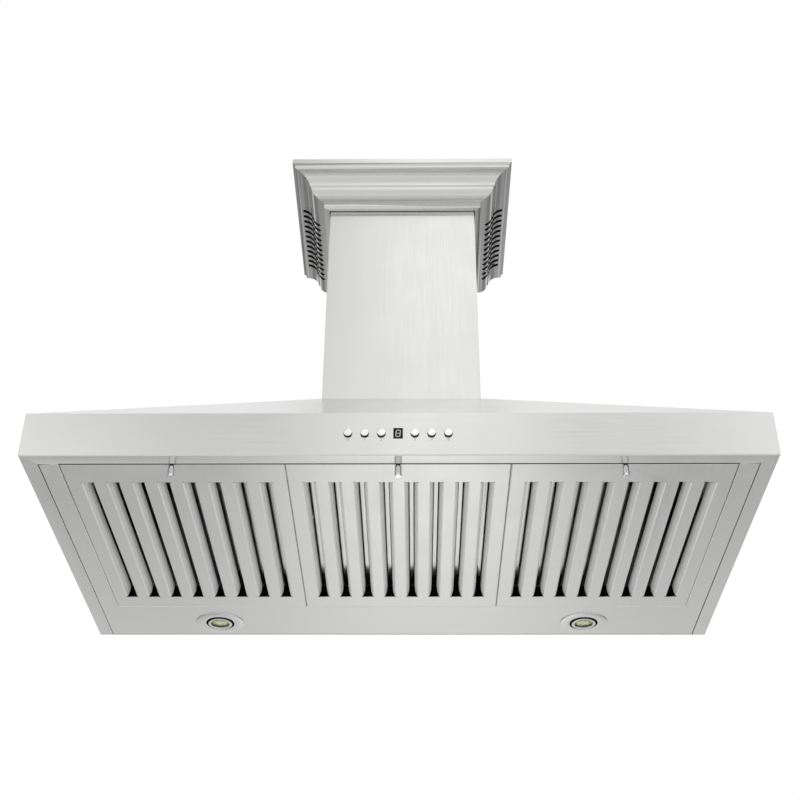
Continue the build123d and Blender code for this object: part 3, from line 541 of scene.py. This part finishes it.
def screws(node, axis, tree):
    """Cross-head screws in place of a CAD node's plain ones; the axis points out of the heads."""
    points, axis = [], Vector(axis)
    size = sizes()
    for low, high in loose_parts(node):
        middle = (low + high) / 2
        span = abs((high - low).dot(axis))
        points.append(middle + axis * (span / 2 - size.screw_rise))
    values = {"Head Radius": size.screw_head, "Head Height": size.screw_rise,
              "Shank Radius": size.screw_shank, "Shank Length": span - size.screw_rise,
              "Recess Width": size.screw_recess, "Axis": axis}
    mesh = grown(node + "_cross_head", points, tree, values)
    return put(node + "_cross_head", smoothed(mesh, 30.0), spring_steel(), "hood", [node])


def wheel_tree(material):
    """A ring of cambered blades between flat end rings, on a centre disc with a hub."""
    tree, given = new_tree("inlet_wheel", {"Blades": "Int", "Radius": "Float", "Half Width": "Float",
                                           "Chord": "Float", "Sheet": "Float", "Hub Radius": "Float",
                                           "Shaft Radius": "Float", "Hub Half": "Float", "Centre": "Vector"})

    def sum_of(first, second, operation="ADD"):
        return maths(tree, first, second, operation)

    section = add(tree, "GeometryNodeCurvePrimitiveQuadrilateral", {"Width": given["Sheet"],
                                                                    "Height": given["Chord"]}).outputs[0]
    divided = add(tree, "GeometryNodeSubdivideCurve", {"Curve": section, "Cuts": 5}).outputs[0]
    where = add(tree, "GeometryNodeInputPosition").outputs[0]
    along = add(tree, "ShaderNodeSeparateXYZ", {0: where}).outputs[1]
    share = sum_of(along, given["Chord"], "DIVIDE")
    camber = sum_of(sum_of(share, share, "MULTIPLY"), sum_of(given["Chord"], 0.75, "MULTIPLY"), "MULTIPLY")
    bent = add(tree, "GeometryNodeSetPosition", {
        "Geometry": divided, "Offset": add(tree, "ShaderNodeCombineXYZ", {0: camber}).outputs[0]}).outputs[0]
    negative = sum_of(given["Half Width"], -1.0, "MULTIPLY")
    line = add(tree, "GeometryNodeCurvePrimitiveLine", {
        "Start": upward(tree, negative),
        "End": upward(tree, given["Half Width"])}).outputs[0]
    blade = add(tree, "GeometryNodeCurveToMesh", {"Curve": line, "Profile Curve": bent,
                                                  "Fill Caps": True}).outputs[0]
    middle = sum_of(given["Radius"], sum_of(given["Chord"], -0.47, "MULTIPLY"))
    circle = add(tree, "GeometryNodeMeshCircle", {"Vertices": given["Blades"], "Radius": middle}).outputs[0]
    index = add(tree, "GeometryNodeInputIndex").outputs[0]
    step = sum_of(2 * pi, given["Blades"], "DIVIDE")
    angle = sum_of(sum_of(index, step, "MULTIPLY"), radians(70.0))
    turn = upward(tree, angle)
    blades = add(tree, "GeometryNodeInstanceOnPoints", {"Points": circle, "Instance": blade,
                                                        "Rotation": turn}).outputs[0]

    def ring(inner, outer, height, level):
        """Flat ring between two radii, at a level along the wheel's axis."""
        centre = sum_of(sum_of(inner, outer), 0.5, "MULTIPLY")
        path = add(tree, "GeometryNodeCurvePrimitiveCircle", {"Resolution": 72, "Radius": centre}).outputs[0]
        profile = add(tree, "GeometryNodeCurvePrimitiveQuadrilateral", {
            "Width": sum_of(outer, inner, "SUBTRACT"), "Height": height}).outputs[0]
        flat = add(tree, "GeometryNodeCurveToMesh", {"Curve": path, "Profile Curve": profile}).outputs[0]
        lift = upward(tree, level)
        return moved(tree, flat, lift)

    rim_inner = sum_of(given["Radius"], given["Chord"], "SUBTRACT")
    rim = sum_of(given["Half Width"], sum_of(given["Sheet"], 0.5, "MULTIPLY"), "SUBTRACT")
    hub = sum_of(given["Hub Half"], 2.0, "MULTIPLY")
    rings = [ring(rim_inner, given["Radius"], given["Sheet"], rim),
             ring(rim_inner, given["Radius"], given["Sheet"], sum_of(rim, -1.0, "MULTIPLY")),
             ring(given["Hub Radius"], given["Radius"], given["Sheet"], 0.0),
             ring(given["Shaft Radius"], given["Hub Radius"], hub, 0.0)]
    whole = add(tree, "GeometryNodeJoinGeometry", {"Geometry": [blades] + rings}).outputs[0]
    laid = add(tree, "GeometryNodeTransform", {"Geometry": whole, "Translation": given["Centre"],
                                               "Rotation": (0.0, pi / 2, 0.0)}).outputs[0]
    end_tree(tree, laid, material)
    return tree


def turned(name, profile, centre, segments=64):
    """Closed shape turned about an upright axis from a closed profile of (radius, height) points, in mm."""
    work = bmesh.new()
    rings = []
    for radius, height in profile:
        if radius == 0:
            rings.append([work.verts.new((centre[0], centre[1], centre[2] + height * MM))])
            continue
        turn = [2 * pi * k / segments for k in range(segments)]
        rings.append([work.verts.new((centre[0] + radius * MM * cos(a), centre[1] + radius * MM * sin(a),
                                      centre[2] + height * MM)) for a in turn])
    for near, far in zip(rings, rings[1:] + rings[:1]):
        for k in range(segments):
            corners = [near[k % len(near)], near[(k + 1) % len(near)],
                       far[(k + 1) % len(far)], far[k % len(far)]]
            corners = list(dict.fromkeys(corners))
            if len(corners) > 2:
                work.faces.new(corners)
    return from_bmesh(name, work)


# ---- pieces ----
class HOOD_OT_canopy(bpy.types.Operator):
    """Finish the folded steel skin of the canopy"""
    bl_idname = "hood.canopy"
    bl_label = "Canopy"

    def execute(self, context):
        for node, grain in (("fascia_front", "X"), ("fascia_left", "Y"), ("fascia_right", "Y"),
                            ("base_panel", "X")):
            finished(node, brushed_stainless(grain))
        for node, grain in (("slope_front", "X"), ("slope_left", "Y"), ("slope_right", "Y")):
            coat(node, brushed_stainless(grain), "brushed_stainless")
        for node in ("back_panel", "top_plate"):
            coat(node, galvanised_steel(), "galvanised_steel")
        return {"FINISHED"}


class HOOD_OT_chimney(bpy.types.Operator):
    """Finish the two nested chimney covers and the tabs between them"""
    bl_idname = "hood.chimney"
    bl_label = "Chimney"

    def execute(self, context):
        finished("lower_chimney", brushed_stainless("Z"))
        finished("upper_chimney", brushed_stainless("Z"), "upper_chimney")
        coat("chimney_rests", galvanised_steel(), "galvanised_steel")
        return {"FINISHED"}


class HOOD_OT_crown(bpy.types.Operator):
    """Finish the crown moulding and its straps"""
    bl_idname = "hood.crown"
    bl_label = "Crown"

    def execute(self, context):
        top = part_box("crown_front")[1].z
        for side, grain, out in (("front", "X", (0, -1, 0)), ("left", "Y", (-1, 0, 0)),
                                 ("right", "Y", (1, 0, 0))):
            outward = Vector(out) - Vector((0, 0, 1))

            # Painted shade: the crown's inner faces and the underside of its top take the near-black steel,
            # for the shade behind the vents.
            def painted_shade_side(face):
                under_top = face.center.z > top - 1.5 * MM and face.normal.z < -0.5
                return under_top or (face.normal.dot(outward) < -0.2 and face.center.z < top - 0.5 * MM)

            finished("crown_" + side, brushed_stainless(grain), "upper_chimney", 20.0,
                     others=[shade_black_steel()], chosen=painted_shade_side)
        # Painted shade: the straps behind the vents are near-black for the shade there.
        finished("crown_brackets", shade_black_steel(), "upper_chimney")
        put("crown_shade_sheet", crown_shade_sheet(top), shade_black_rubber(), "upper_chimney")
        return {"FINISHED"}


def crown_shade_sheet(top):
    """Black sheet round the inner cover behind the vents, and a stop in each end of the crown: painted shade
    that keeps the vents and the crown's ends dark.
    """
    low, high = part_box("upper_chimney")
    near, thick = 0.3 * MM, 1.0 * MM                   # gap to the cover, and the sheet
    wall_gap, top_gap, stop_gap = -4 * MM, 3.2 * MM, 1.6 * MM
    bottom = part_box("crown_front")[0].z + 6 * MM
    work = bmesh.new()
    rows = []
    for gap in (near, near + thick):
        x0, x1, y0 = low.x - gap, high.x + gap, low.y - gap
        path = [(x0, wall_gap), (x0, y0), (x1, y0), (x1, wall_gap)]
        rows += [[work.verts.new((x, y, z)) for x, y in path] for z in (bottom, top - top_gap)]
    inner_low, inner_high, outer_low, outer_high = rows
    for first, second in ((inner_low, inner_high), (outer_low, outer_high), (inner_low, outer_low),
                          (inner_high, outer_high)):
        for k in range(3):
            work.faces.new([first[k], first[k + 1], second[k + 1], second[k]])
    for k in (0, 3):
        work.faces.new([inner_low[k], inner_high[k], outer_high[k], outer_low[k]])
    # (reach, drop) in mm from the cover's side and the crown's top
    stop = [(4, -4), (55, -4), (51, -14), (36, -21), (29.5, -33.5), (22, -43), (11, -50), (4, -50)]
    for side in (-1, 1):
        face = side * (high.x - low.x + 2 * stop_gap) / 2
        ends = [[work.verts.new((face + side * reach * MM, y, top + drop * MM)) for reach, drop in stop]
                for y in (-2.6 * MM, -1.4 * MM)]
        for row in ends:
            work.faces.new(row)
        for k in range(len(stop)):
            work.faces.new([ends[0][k - 1], ends[0][k], ends[1][k], ends[1][k - 1]])
    return from_bmesh("crown_shade_sheet", work)


class HOOD_OT_filters(bpy.types.Operator):
    """Finish the three baffle filters, their knobs and the spring catches"""
    bl_idname = "hood.filters"
    bl_label = "Filters"

    def execute(self, context):
        for side in FILTERS:
            body = "filter_" + side
            low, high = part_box(body + "_tray")

            # Faces above the face plate take the lighter satin steel, painted light for the light that
            # reaches into the slots; the slot ends take the near-black steel, painted shade.
            def pressed(face):
                inside = low.y + 5 * MM < face.center.y < high.y - 5 * MM
                if face.center.z < 0.3 * MM:
                    return 0
                return 2 if inside and abs(face.normal.y) > 0.9 else 1

            finished(body + "_tray", brushed_stainless("Y"), body,
                     others=[satin_painted_light_steel(), shade_black_steel()], chosen=pressed)
            # Painted shade: the rails below this height take the near-black steel, for the shade inside the
            # filter.
            rail_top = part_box(body + "_baffles")[1].z - 7.4 * MM
            finished(body + "_baffles", brushed_stainless("Y"), body,
                     others=[shade_black_steel()], chosen=lambda face: face.center.z < rail_top)
            finished(body + "_knob", polished_chrome(), body)
        finished("filter_catches", spring_steel())
        put("front_shade_strip", front_shade_strip(), shade_black_rubber(), "hood")
        return {"FINISHED"}


def front_shade_strip():
    """Black strip along the gap between the lip and the filters, painted shade that darkens the gap; it laps
    a little over both.
    """
    left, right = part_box("filter_left_tray")[0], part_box("filter_right_tray")[1]
    near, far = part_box("base_panel")[0].y - 0.9 * MM, left.y + 0.25 * MM
    level, rise = -0.25 * MM, 1.8 * MM
    work = bmesh.new()
    outline = [(left.x, near), (right.x, near), (right.x, far), (left.x, far)]
    corners = [[work.verts.new((x, y, z)) for x, y in outline] for z in (level, level + rise)]
    work.faces.new(corners[0])
    work.faces.new(corners[1])
    for k in range(4):
        work.faces.new([corners[0][k - 1], corners[0][k], corners[1][k], corners[1][k - 1]])
    bmesh.ops.bevel(work, geom=work.edges[:], offset=0.12 * MM, segments=2, affect="EDGES")
    return from_bmesh("front_shade_strip", work)


class HOOD_OT_lamps(bpy.types.Operator):
    """Make the two lamps: trim ring, faceted reflector, emitter and glass lens"""
    bl_idname = "hood.lamps"
    bl_label = "Lamps"

    def execute(self, context):
        for side in SIDES:
            # Painted shade: the ring's faces above its bottom face, the sleeve round the lamp, take the
            # black enamel for the dark gap round the lamp.
            finished("lamp_ring_" + side, brushed_stainless("X"),
                     others=[motor_enamel()], chosen=lambda face: face.center.z > 0.2 * MM)
            low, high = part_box("lamp_body_" + side)
            centre = ((low.x + high.x) / 2, (low.y + high.y) / 2, 0.0)
            can = (high.x - low.x) / 2 / MM
            lens_low, lens_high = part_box("lamp_lens_" + side)
            lens_radius = (lens_high.x - lens_low.x) / 2 / MM
            drop = low.z / MM
            rim, seat, bed, ledge, back = 17.7, 3.2, 11.0, 4.0, 18.0
            body = turned("lamp_body", [
                (0.0, bed), (lens_radius - 3.0, bed), (lens_radius - 0.4, seat), (lens_radius, seat),
                (lens_radius, drop + 0.7), (lens_radius + 0.3, drop + 0.2), (lens_radius + 0.9, drop),
                (rim - 1.2, drop), (rim - 0.4, drop + 0.35), (rim, drop + 1.2), (rim, ledge), (can, ledge),
                (can, back), (0.0, back)], centre)
            cast = put("lamp_body_" + side + "_cast", smoothed(body, 30.0), cast_aluminium(), "hood",
                       ["lamp_body_" + side])
            # Painted shade: the bezel's outer wall and the can above it take the black enamel, for the dark
            # gap between the ring and the bezel.
            cast.data.materials.append(motor_enamel())
            for face in cast.data.polygons:
                reach = (Vector(face.center) - Vector(centre)).to_2d().length
                face.material_index = int(reach > (rim - 0.3) * MM and face.center.z > drop * MM)
            bowl = [(lens_radius - 0.5, 2.9), (lens_radius - 1.4, 5.2), (lens_radius - 3.0, 7.6),
                    (lens_radius - 5.4, 9.6), (4.6, 10.4), (4.6, 10.7), (lens_radius - 5.0, 10.0),
                    (lens_radius - 2.6, 7.9), (lens_radius - 1.0, 5.4), (lens_radius - 0.1, 2.9)]
            put("lamp_reflector_" + side, turned("bowl", bowl, centre, sizes().facets), mirror_facet(),
                "hood")
            chip = [(0.0, 10.9), (4.9, 10.9), (4.9, 9.6), (4.3, 9.0), (2.4, 8.6), (0.0, 8.5)]
            put("lamp_emitter_" + side, smoothed(turned("chip", chip, centre, 40)), emitter_phosphor(),
                "hood")
            glass = [(0.0, 2.6), (lens_radius - 0.05, 2.6), (lens_radius - 0.05, 1.4),
                     (lens_radius * 0.86, 0.5), (lens_radius * 0.62, -0.2), (lens_radius * 0.32, -0.7),
                     (0.0, -0.85)]
            put("lamp_lens_" + side + "_pressed", smoothed(turned("glass", glass, centre, 56)), lamp_glass(),
                "hood", ["lamp_lens_" + side])
        finished("lamp_clips", spring_steel())
        return {"FINISHED"}


class HOOD_OT_controls(bpy.types.Operator):
    """Make the buttons, the display with its digit, and the printed marks"""
    bl_idname = "hood.controls"
    bl_label = "Controls"

    def execute(self, context):
        for name in BUTTONS:
            # Painted shade: the side walls of each button take the black nylon, for the dark crescent of
            # shade below the cap.
            finished("button_" + name, polished_chrome(), "button_" + name,
                     others=[black_nylon()], chosen=lambda face: abs(face.normal.y) < 0.55)
        finished("control_housing", black_nylon())
        coat("control_board", solder_mask(), "circuit_board")
        coat("display_module", display_black(), "display_black")
        low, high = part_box("display_module")
        face = low.y
        work = bmesh.new()
        segment_digit(work, (low.x + high.x) / 2, (low.z + high.z) / 2, face - 0.05 * MM)
        put("display_digit", from_bmesh("digit", work), digit_white(), "hood")
        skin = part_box("fascia_front")[0].y - 0.03 * MM
        for name in BUTTONS:
            low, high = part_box("button_" + name)
            x, z = (low.x + high.x) / 2, (low.z + high.z) / 2 - MARK_DROP
            if name.startswith("speed"):
                mesh = printed_number(name[-1], x, z, skin)
            else:
                mesh = printed_sign(name, x, z, skin)
            put("mark_" + name, mesh, marking_ink(), "hood")
        return {"FINISHED"}


def slab(work, outline, y):
    """Thin plate with an outline of (x, z) points whose front lies at y."""
    front = [work.verts.new((x, y, z)) for x, z in outline]
    rear = [work.verts.new((x, y + PLATE, z)) for x, z in outline]
    work.faces.new(front)
    work.faces.new(rear[::-1])
    for k in range(len(outline)):
        n = (k + 1) % len(outline)
        work.faces.new([front[k], rear[k], rear[n], front[n]])


def band(work, inner, outer, y):
    """Thin plate between two open outlines with the same number of (x, z) points."""
    for k in range(len(inner) - 1):
        slab(work, [inner[k], outer[k], outer[k + 1], inner[k + 1]], y)


def segment_digit(work, x, z, y):
    """Figure 8 of seven pointed segments, leaning a little as display digits do."""
    half, rise, thick = 2.5 * MM, 4.4 * MM, 0.46 * MM
    bars = [((-half, level), (half, level)) for level in (-rise, 0, rise)]
    bars += [((side, 0), (side, end)) for side in (-half, half) for end in (-rise, rise)]
    for first, last in bars:
        start, end = Vector(first), Vector(last)
        along = (end - start).normalized() * thick
        across = Vector((-along.y, along.x))
        a, b = start + along * 0.25, end - along * 0.25
        points = [a, a + along + across, b - along + across, b, b - along - across, a + along - across]
        slab(work, [(x + p.x + 0.09 * p.y, z + p.y) for p in points], y)


def printed_number(text, x, z, y):
    """Flat mesh of a number, standing on the fascia."""
    font = bpy.data.curves.new("number", "FONT")
    font.body, font.size, font.align_x, font.align_y = text, sizes().mark_height * 1.35, "CENTER", "CENTER"
    font.extrude = 0.01 * MM
    piece = bpy.data.objects.new("number", font)
    bpy.context.scene.collection.objects.link(piece)
    mesh = plain_mesh(piece)
    mesh.transform(Matrix.Translation((x, y, z)) @ Matrix.Rotation(pi / 2, 4, "X"))
    return mesh


def printed_sign(name, x, z, y):
    """Power sign, or a lamp with its rays, printed on the fascia."""
    work = bmesh.new()
    radius, line = sizes().mark_height * 0.42, 0.42 * MM

    def arc(size, start, end, steps=28):
        turns = [radians(start + (end - start) * k / steps) for k in range(steps + 1)]
        return [(x + size * sin(a), z + size * cos(a)) for a in turns]

    if name == "power":
        band(work, arc(radius - line, 35, 325), arc(radius, 35, 325), y)
        slab(work, [(x - line / 2, z), (x + line / 2, z), (x + line / 2, z + radius * 1.25),
                    (x - line / 2, z + radius * 1.25)], y)
    else:
        band(work, arc(radius * 0.5 - line, 0, 360), arc(radius * 0.5, 0, 360), y)
        for turn in range(0, 360, 45):
            ray = Matrix.Rotation(radians(turn), 2)
            corners = [Vector((-line / 2, radius * 0.75)), Vector((line / 2, radius * 0.75)),
                       Vector((line / 2, radius * 1.25)), Vector((-line / 2, radius * 1.25))]
            slab(work, [(x + (ray @ c).x, z + (ray @ c).y) for c in corners], y)
    return from_bmesh("sign", work)


class HOOD_OT_blower(bpy.types.Operator):
    """Make the blower: scroll halves, wheel with blades, motor and its spider"""
    bl_idname = "hood.blower"
    bl_label = "Blower"

    def execute(self, context):
        for side in SIDES:
            finished("blower_housing_" + side, galvanised_steel())
        low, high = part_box("blower_wheel")
        centre = (low + high) / 2
        tree = wheel_tree(mill_aluminium())
        values = {"Blades": sizes().blades, "Radius": (high.z - low.z) / 2,
                  "Half Width": (high.x - low.x) / 2, "Chord": sizes().blade_chord, "Sheet": WHEEL_SHEET,
                  "Hub Radius": HUB_RADIUS, "Shaft Radius": SHAFT_BORE, "Hub Half": HUB_HALF,
                  "Centre": centre}
        mesh = grown("blower_wheel_bladed", [centre], tree, values)
        put("blower_wheel_bladed", smoothed(mesh, 40.0), mill_aluminium(), "blower_wheel",
            ["blower_wheel"])
        finished("motor_shaft", spring_steel(), "blower_wheel")
        finished("motor", motor_enamel())
        finished("motor_spider", galvanised_steel())
        return {"FINISHED"}


class HOOD_OT_duct(bpy.types.Operator):
    """Finish the duct collar and the two damper flaps on their pin"""
    bl_idname = "hood.duct"
    bl_label = "Duct collar"

    def execute(self, context):
        finished("duct_collar", galvanised_steel(), angle=30.0)
        finished("damper_pin", spring_steel())
        for side in SIDES:
            flap = "damper_flap_" + side
            finished(flap, galvanised_steel(), flap)
        return {"FINISHED"}


class HOOD_OT_wiring(bpy.types.Operator):
    """Finish the junction box, cable gland and capacitor"""
    bl_idname = "hood.wiring"
    bl_label = "Wiring"

    def execute(self, context):
        finished("junction_box", galvanised_steel())
        finished("junction_lid", galvanised_steel())
        finished("cable_gland", black_nylon())
        finished("capacitor", cast_aluminium())
        return {"FINISHED"}


class HOOD_OT_fixings(bpy.types.Operator):
    """Stand cross-head screws where the sheets are fixed"""
    bl_idname = "hood.fixings"
    bl_label = "Fixings"

    def execute(self, context):
        tree = screw_tree(spring_steel())
        screws("panel_screws", (0, -1, 0), tree)
        screws("blower_screws", (0, 0, 1), tree)
        screws("chimney_screws", (0, 0, 1), tree)
        return {"FINISHED"}


# ---- studio ----
class HOOD_OT_stage(bpy.types.Operator):
    """Set the floor, the soft studio light and the camera"""
    bl_idname = "hood.stage"
    bl_label = "Stage"

    def execute(self, context):
        scene = context.scene
        scene.view_settings.view_transform = "Standard"
        floor = bpy.data.meshes.new("floor")
        corners = [(-FLOOR_SIDE, FLOOR_FRONT), (FLOOR_SIDE, FLOOR_FRONT), (FLOOR_SIDE, FLOOR_REAR),
                   (-FLOOR_SIDE, FLOOR_REAR)]
        floor.from_pydata([(x, y, -sizes().floor_drop) for x, y in corners], [], [(0, 1, 2, 3)])
        floor.materials.append(coated("matt_white_floor", linear("#F2F2F2"), 0.7, 3 * MM, 0.02 * MM,
                                      low=0.98))
        stage = bpy.data.objects.new("floor", floor)
        scene.collection.objects.link(stage)
        studio_light(scene)
        studio_camera(scene)
        return {"FINISHED"}


def studio_light(scene):
    """White room: brightest high in front and in a narrow band low behind, dimmer to the left, at the
    sides and straight down. Each strength depends on the direction only."""
    world = bpy.data.worlds.new("white_room")
    scene.world = world
    world.use_nodes = True
    tree = world.node_tree
    tree.nodes.clear()
    direction = add(tree, "ShaderNodeTexCoord").outputs["Generated"]
    x, y, z = add(tree, "ShaderNodeSeparateXYZ", {0: direction}).outputs

    def spread(value, low, high, to_low, to_high):
        return add(tree, "ShaderNodeMapRange",
                   {"Value": value, "From Min": low, "From Max": high, "To Min": to_low, "To Max": to_high},
                   interpolation_type="SMOOTHSTEP").outputs[0]

    def mixed(factor, first, second):
        return add(tree, "ShaderNodeMix", {0: factor, 2: first, 3: second}).outputs[0]

    side = maths(tree, maths(tree, x, 0.008, "SUBTRACT"), 0.0, "ABSOLUTE")
    # high in front: strong in the middle, weaker just beside it; steeper up, weaker to the left
    front_up = mixed(spread(side, 0.13, 0.30, 0.0, 1.0), spread(side, 0.01, 0.13, 1.20, 0.68), 1.10)
    upper = mixed(spread(z, 0.55, 0.62, 0.0, 1.0), 1.0, spread(x, -0.01, -0.11, 1.14, 0.62))
    front = mixed(spread(z, -0.25, 0.3, 0.0, 1.0), 0.74, maths(tree, front_up, upper))
    # behind and below: a strong middle, then dimmer at the sides and straight down
    low = mixed(spread(side, 0.02, 0.17, 0.0, 1.0), 1.22, 0.43)
    back_below = mixed(spread(z, -0.40, -0.53, 0.0, 1.0), 0.74, low)
    steep = maths(tree, back_below, spread(z, -0.58, -0.70, 1.0, 0.30))
    dim_sides = maths(tree, steep, spread(side, 0.30, 0.62, 1.0, 0.30))
    back = mixed(spread(z, 0.0, 0.5, 0.0, 1.0), dim_sides, 0.84)
    strength = mixed(spread(y, -0.3, 0.3, 0.0, 1.0), front, back)
    seen = add(tree, "ShaderNodeLightPath").outputs["Is Camera Ray"]
    lit = mixed(seen, strength, 1.0)
    background = add(tree, "ShaderNodeBackground", {"Color": (1, 1, 1, 1), "Strength": lit}).outputs[0]
    add(tree, "ShaderNodeOutputWorld", {"Surface": background})
    light = bpy.data.lights.new("overhead", "AREA")
    light.energy, light.size = OVERHEAD_WATTS, OVERHEAD_SIZE
    lamp = bpy.data.objects.new("overhead", light)
    scene.collection.objects.link(lamp)
    lamp.location = OVERHEAD_PLACE


def studio_camera(scene):
    """Camera below and in front of the hood, looking up at it."""
    level = cos(CAMERA_PITCH)
    ahead = Vector((sin(CAMERA_YAW) * level, cos(CAMERA_YAW) * level, sin(CAMERA_PITCH)))
    right = ahead.cross(Vector((0, 0, 1))).normalized()
    up = right.cross(ahead)
    across = right * cos(CAMERA_ROLL) + up * sin(CAMERA_ROLL)
    above = up * cos(CAMERA_ROLL) - right * sin(CAMERA_ROLL)
    data = bpy.data.cameras.new("camera")
    data.lens, data.sensor_width = LENS_MM, SENSOR_MM
    camera = bpy.data.objects.new("camera", data)
    scene.collection.objects.link(camera)
    basis = Matrix((across, above, -ahead)).transposed().to_4x4()
    camera.matrix_world = Matrix.Translation(CAMERA_PLACE) @ basis
    scene.camera = camera


class HOOD_PT_panel(bpy.types.Panel):
    """Steps and sizes of the hood"""
    bl_idname = "HOOD_PT_panel"
    bl_label = "Range hood"
    bl_space_type = "VIEW_3D"
    bl_region_type = "UI"
    bl_category = "Hood"

    def draw(self, context):
        for step in STEPS:
            self.layout.operator(step.bl_idname)
        for group in (context.scene.hood_sizes, context.scene.hood_colours):
            for name in group.__annotations__:
                self.layout.prop(group, name)


STEPS = [HOOD_OT_stage, HOOD_OT_canopy, HOOD_OT_chimney, HOOD_OT_crown, HOOD_OT_filters, HOOD_OT_lamps,
         HOOD_OT_controls, HOOD_OT_blower, HOOD_OT_duct, HOOD_OT_wiring, HOOD_OT_fixings]
CLASSES = [HoodColours, HoodSizes, *STEPS, HOOD_PT_panel]


def register():
    for each in CLASSES:
        bpy.utils.register_class(each)
    bpy.types.Scene.hood_colours = bpy.props.PointerProperty(type=HoodColours)
    bpy.types.Scene.hood_sizes = bpy.props.PointerProperty(type=HoodSizes)


def unregister():
    del bpy.types.Scene.hood_sizes
    del bpy.types.Scene.hood_colours
    for each in reversed(CLASSES):
        bpy.utils.unregister_class(each)


def main():
    register()
    for step in STEPS:
        group, name = step.bl_idname.split(".")
        if getattr(getattr(bpy.ops, group), name)() != {"FINISHED"}:
            raise RuntimeError(step.bl_label + " wasn't made")


if __name__ == "__main__":
    main()
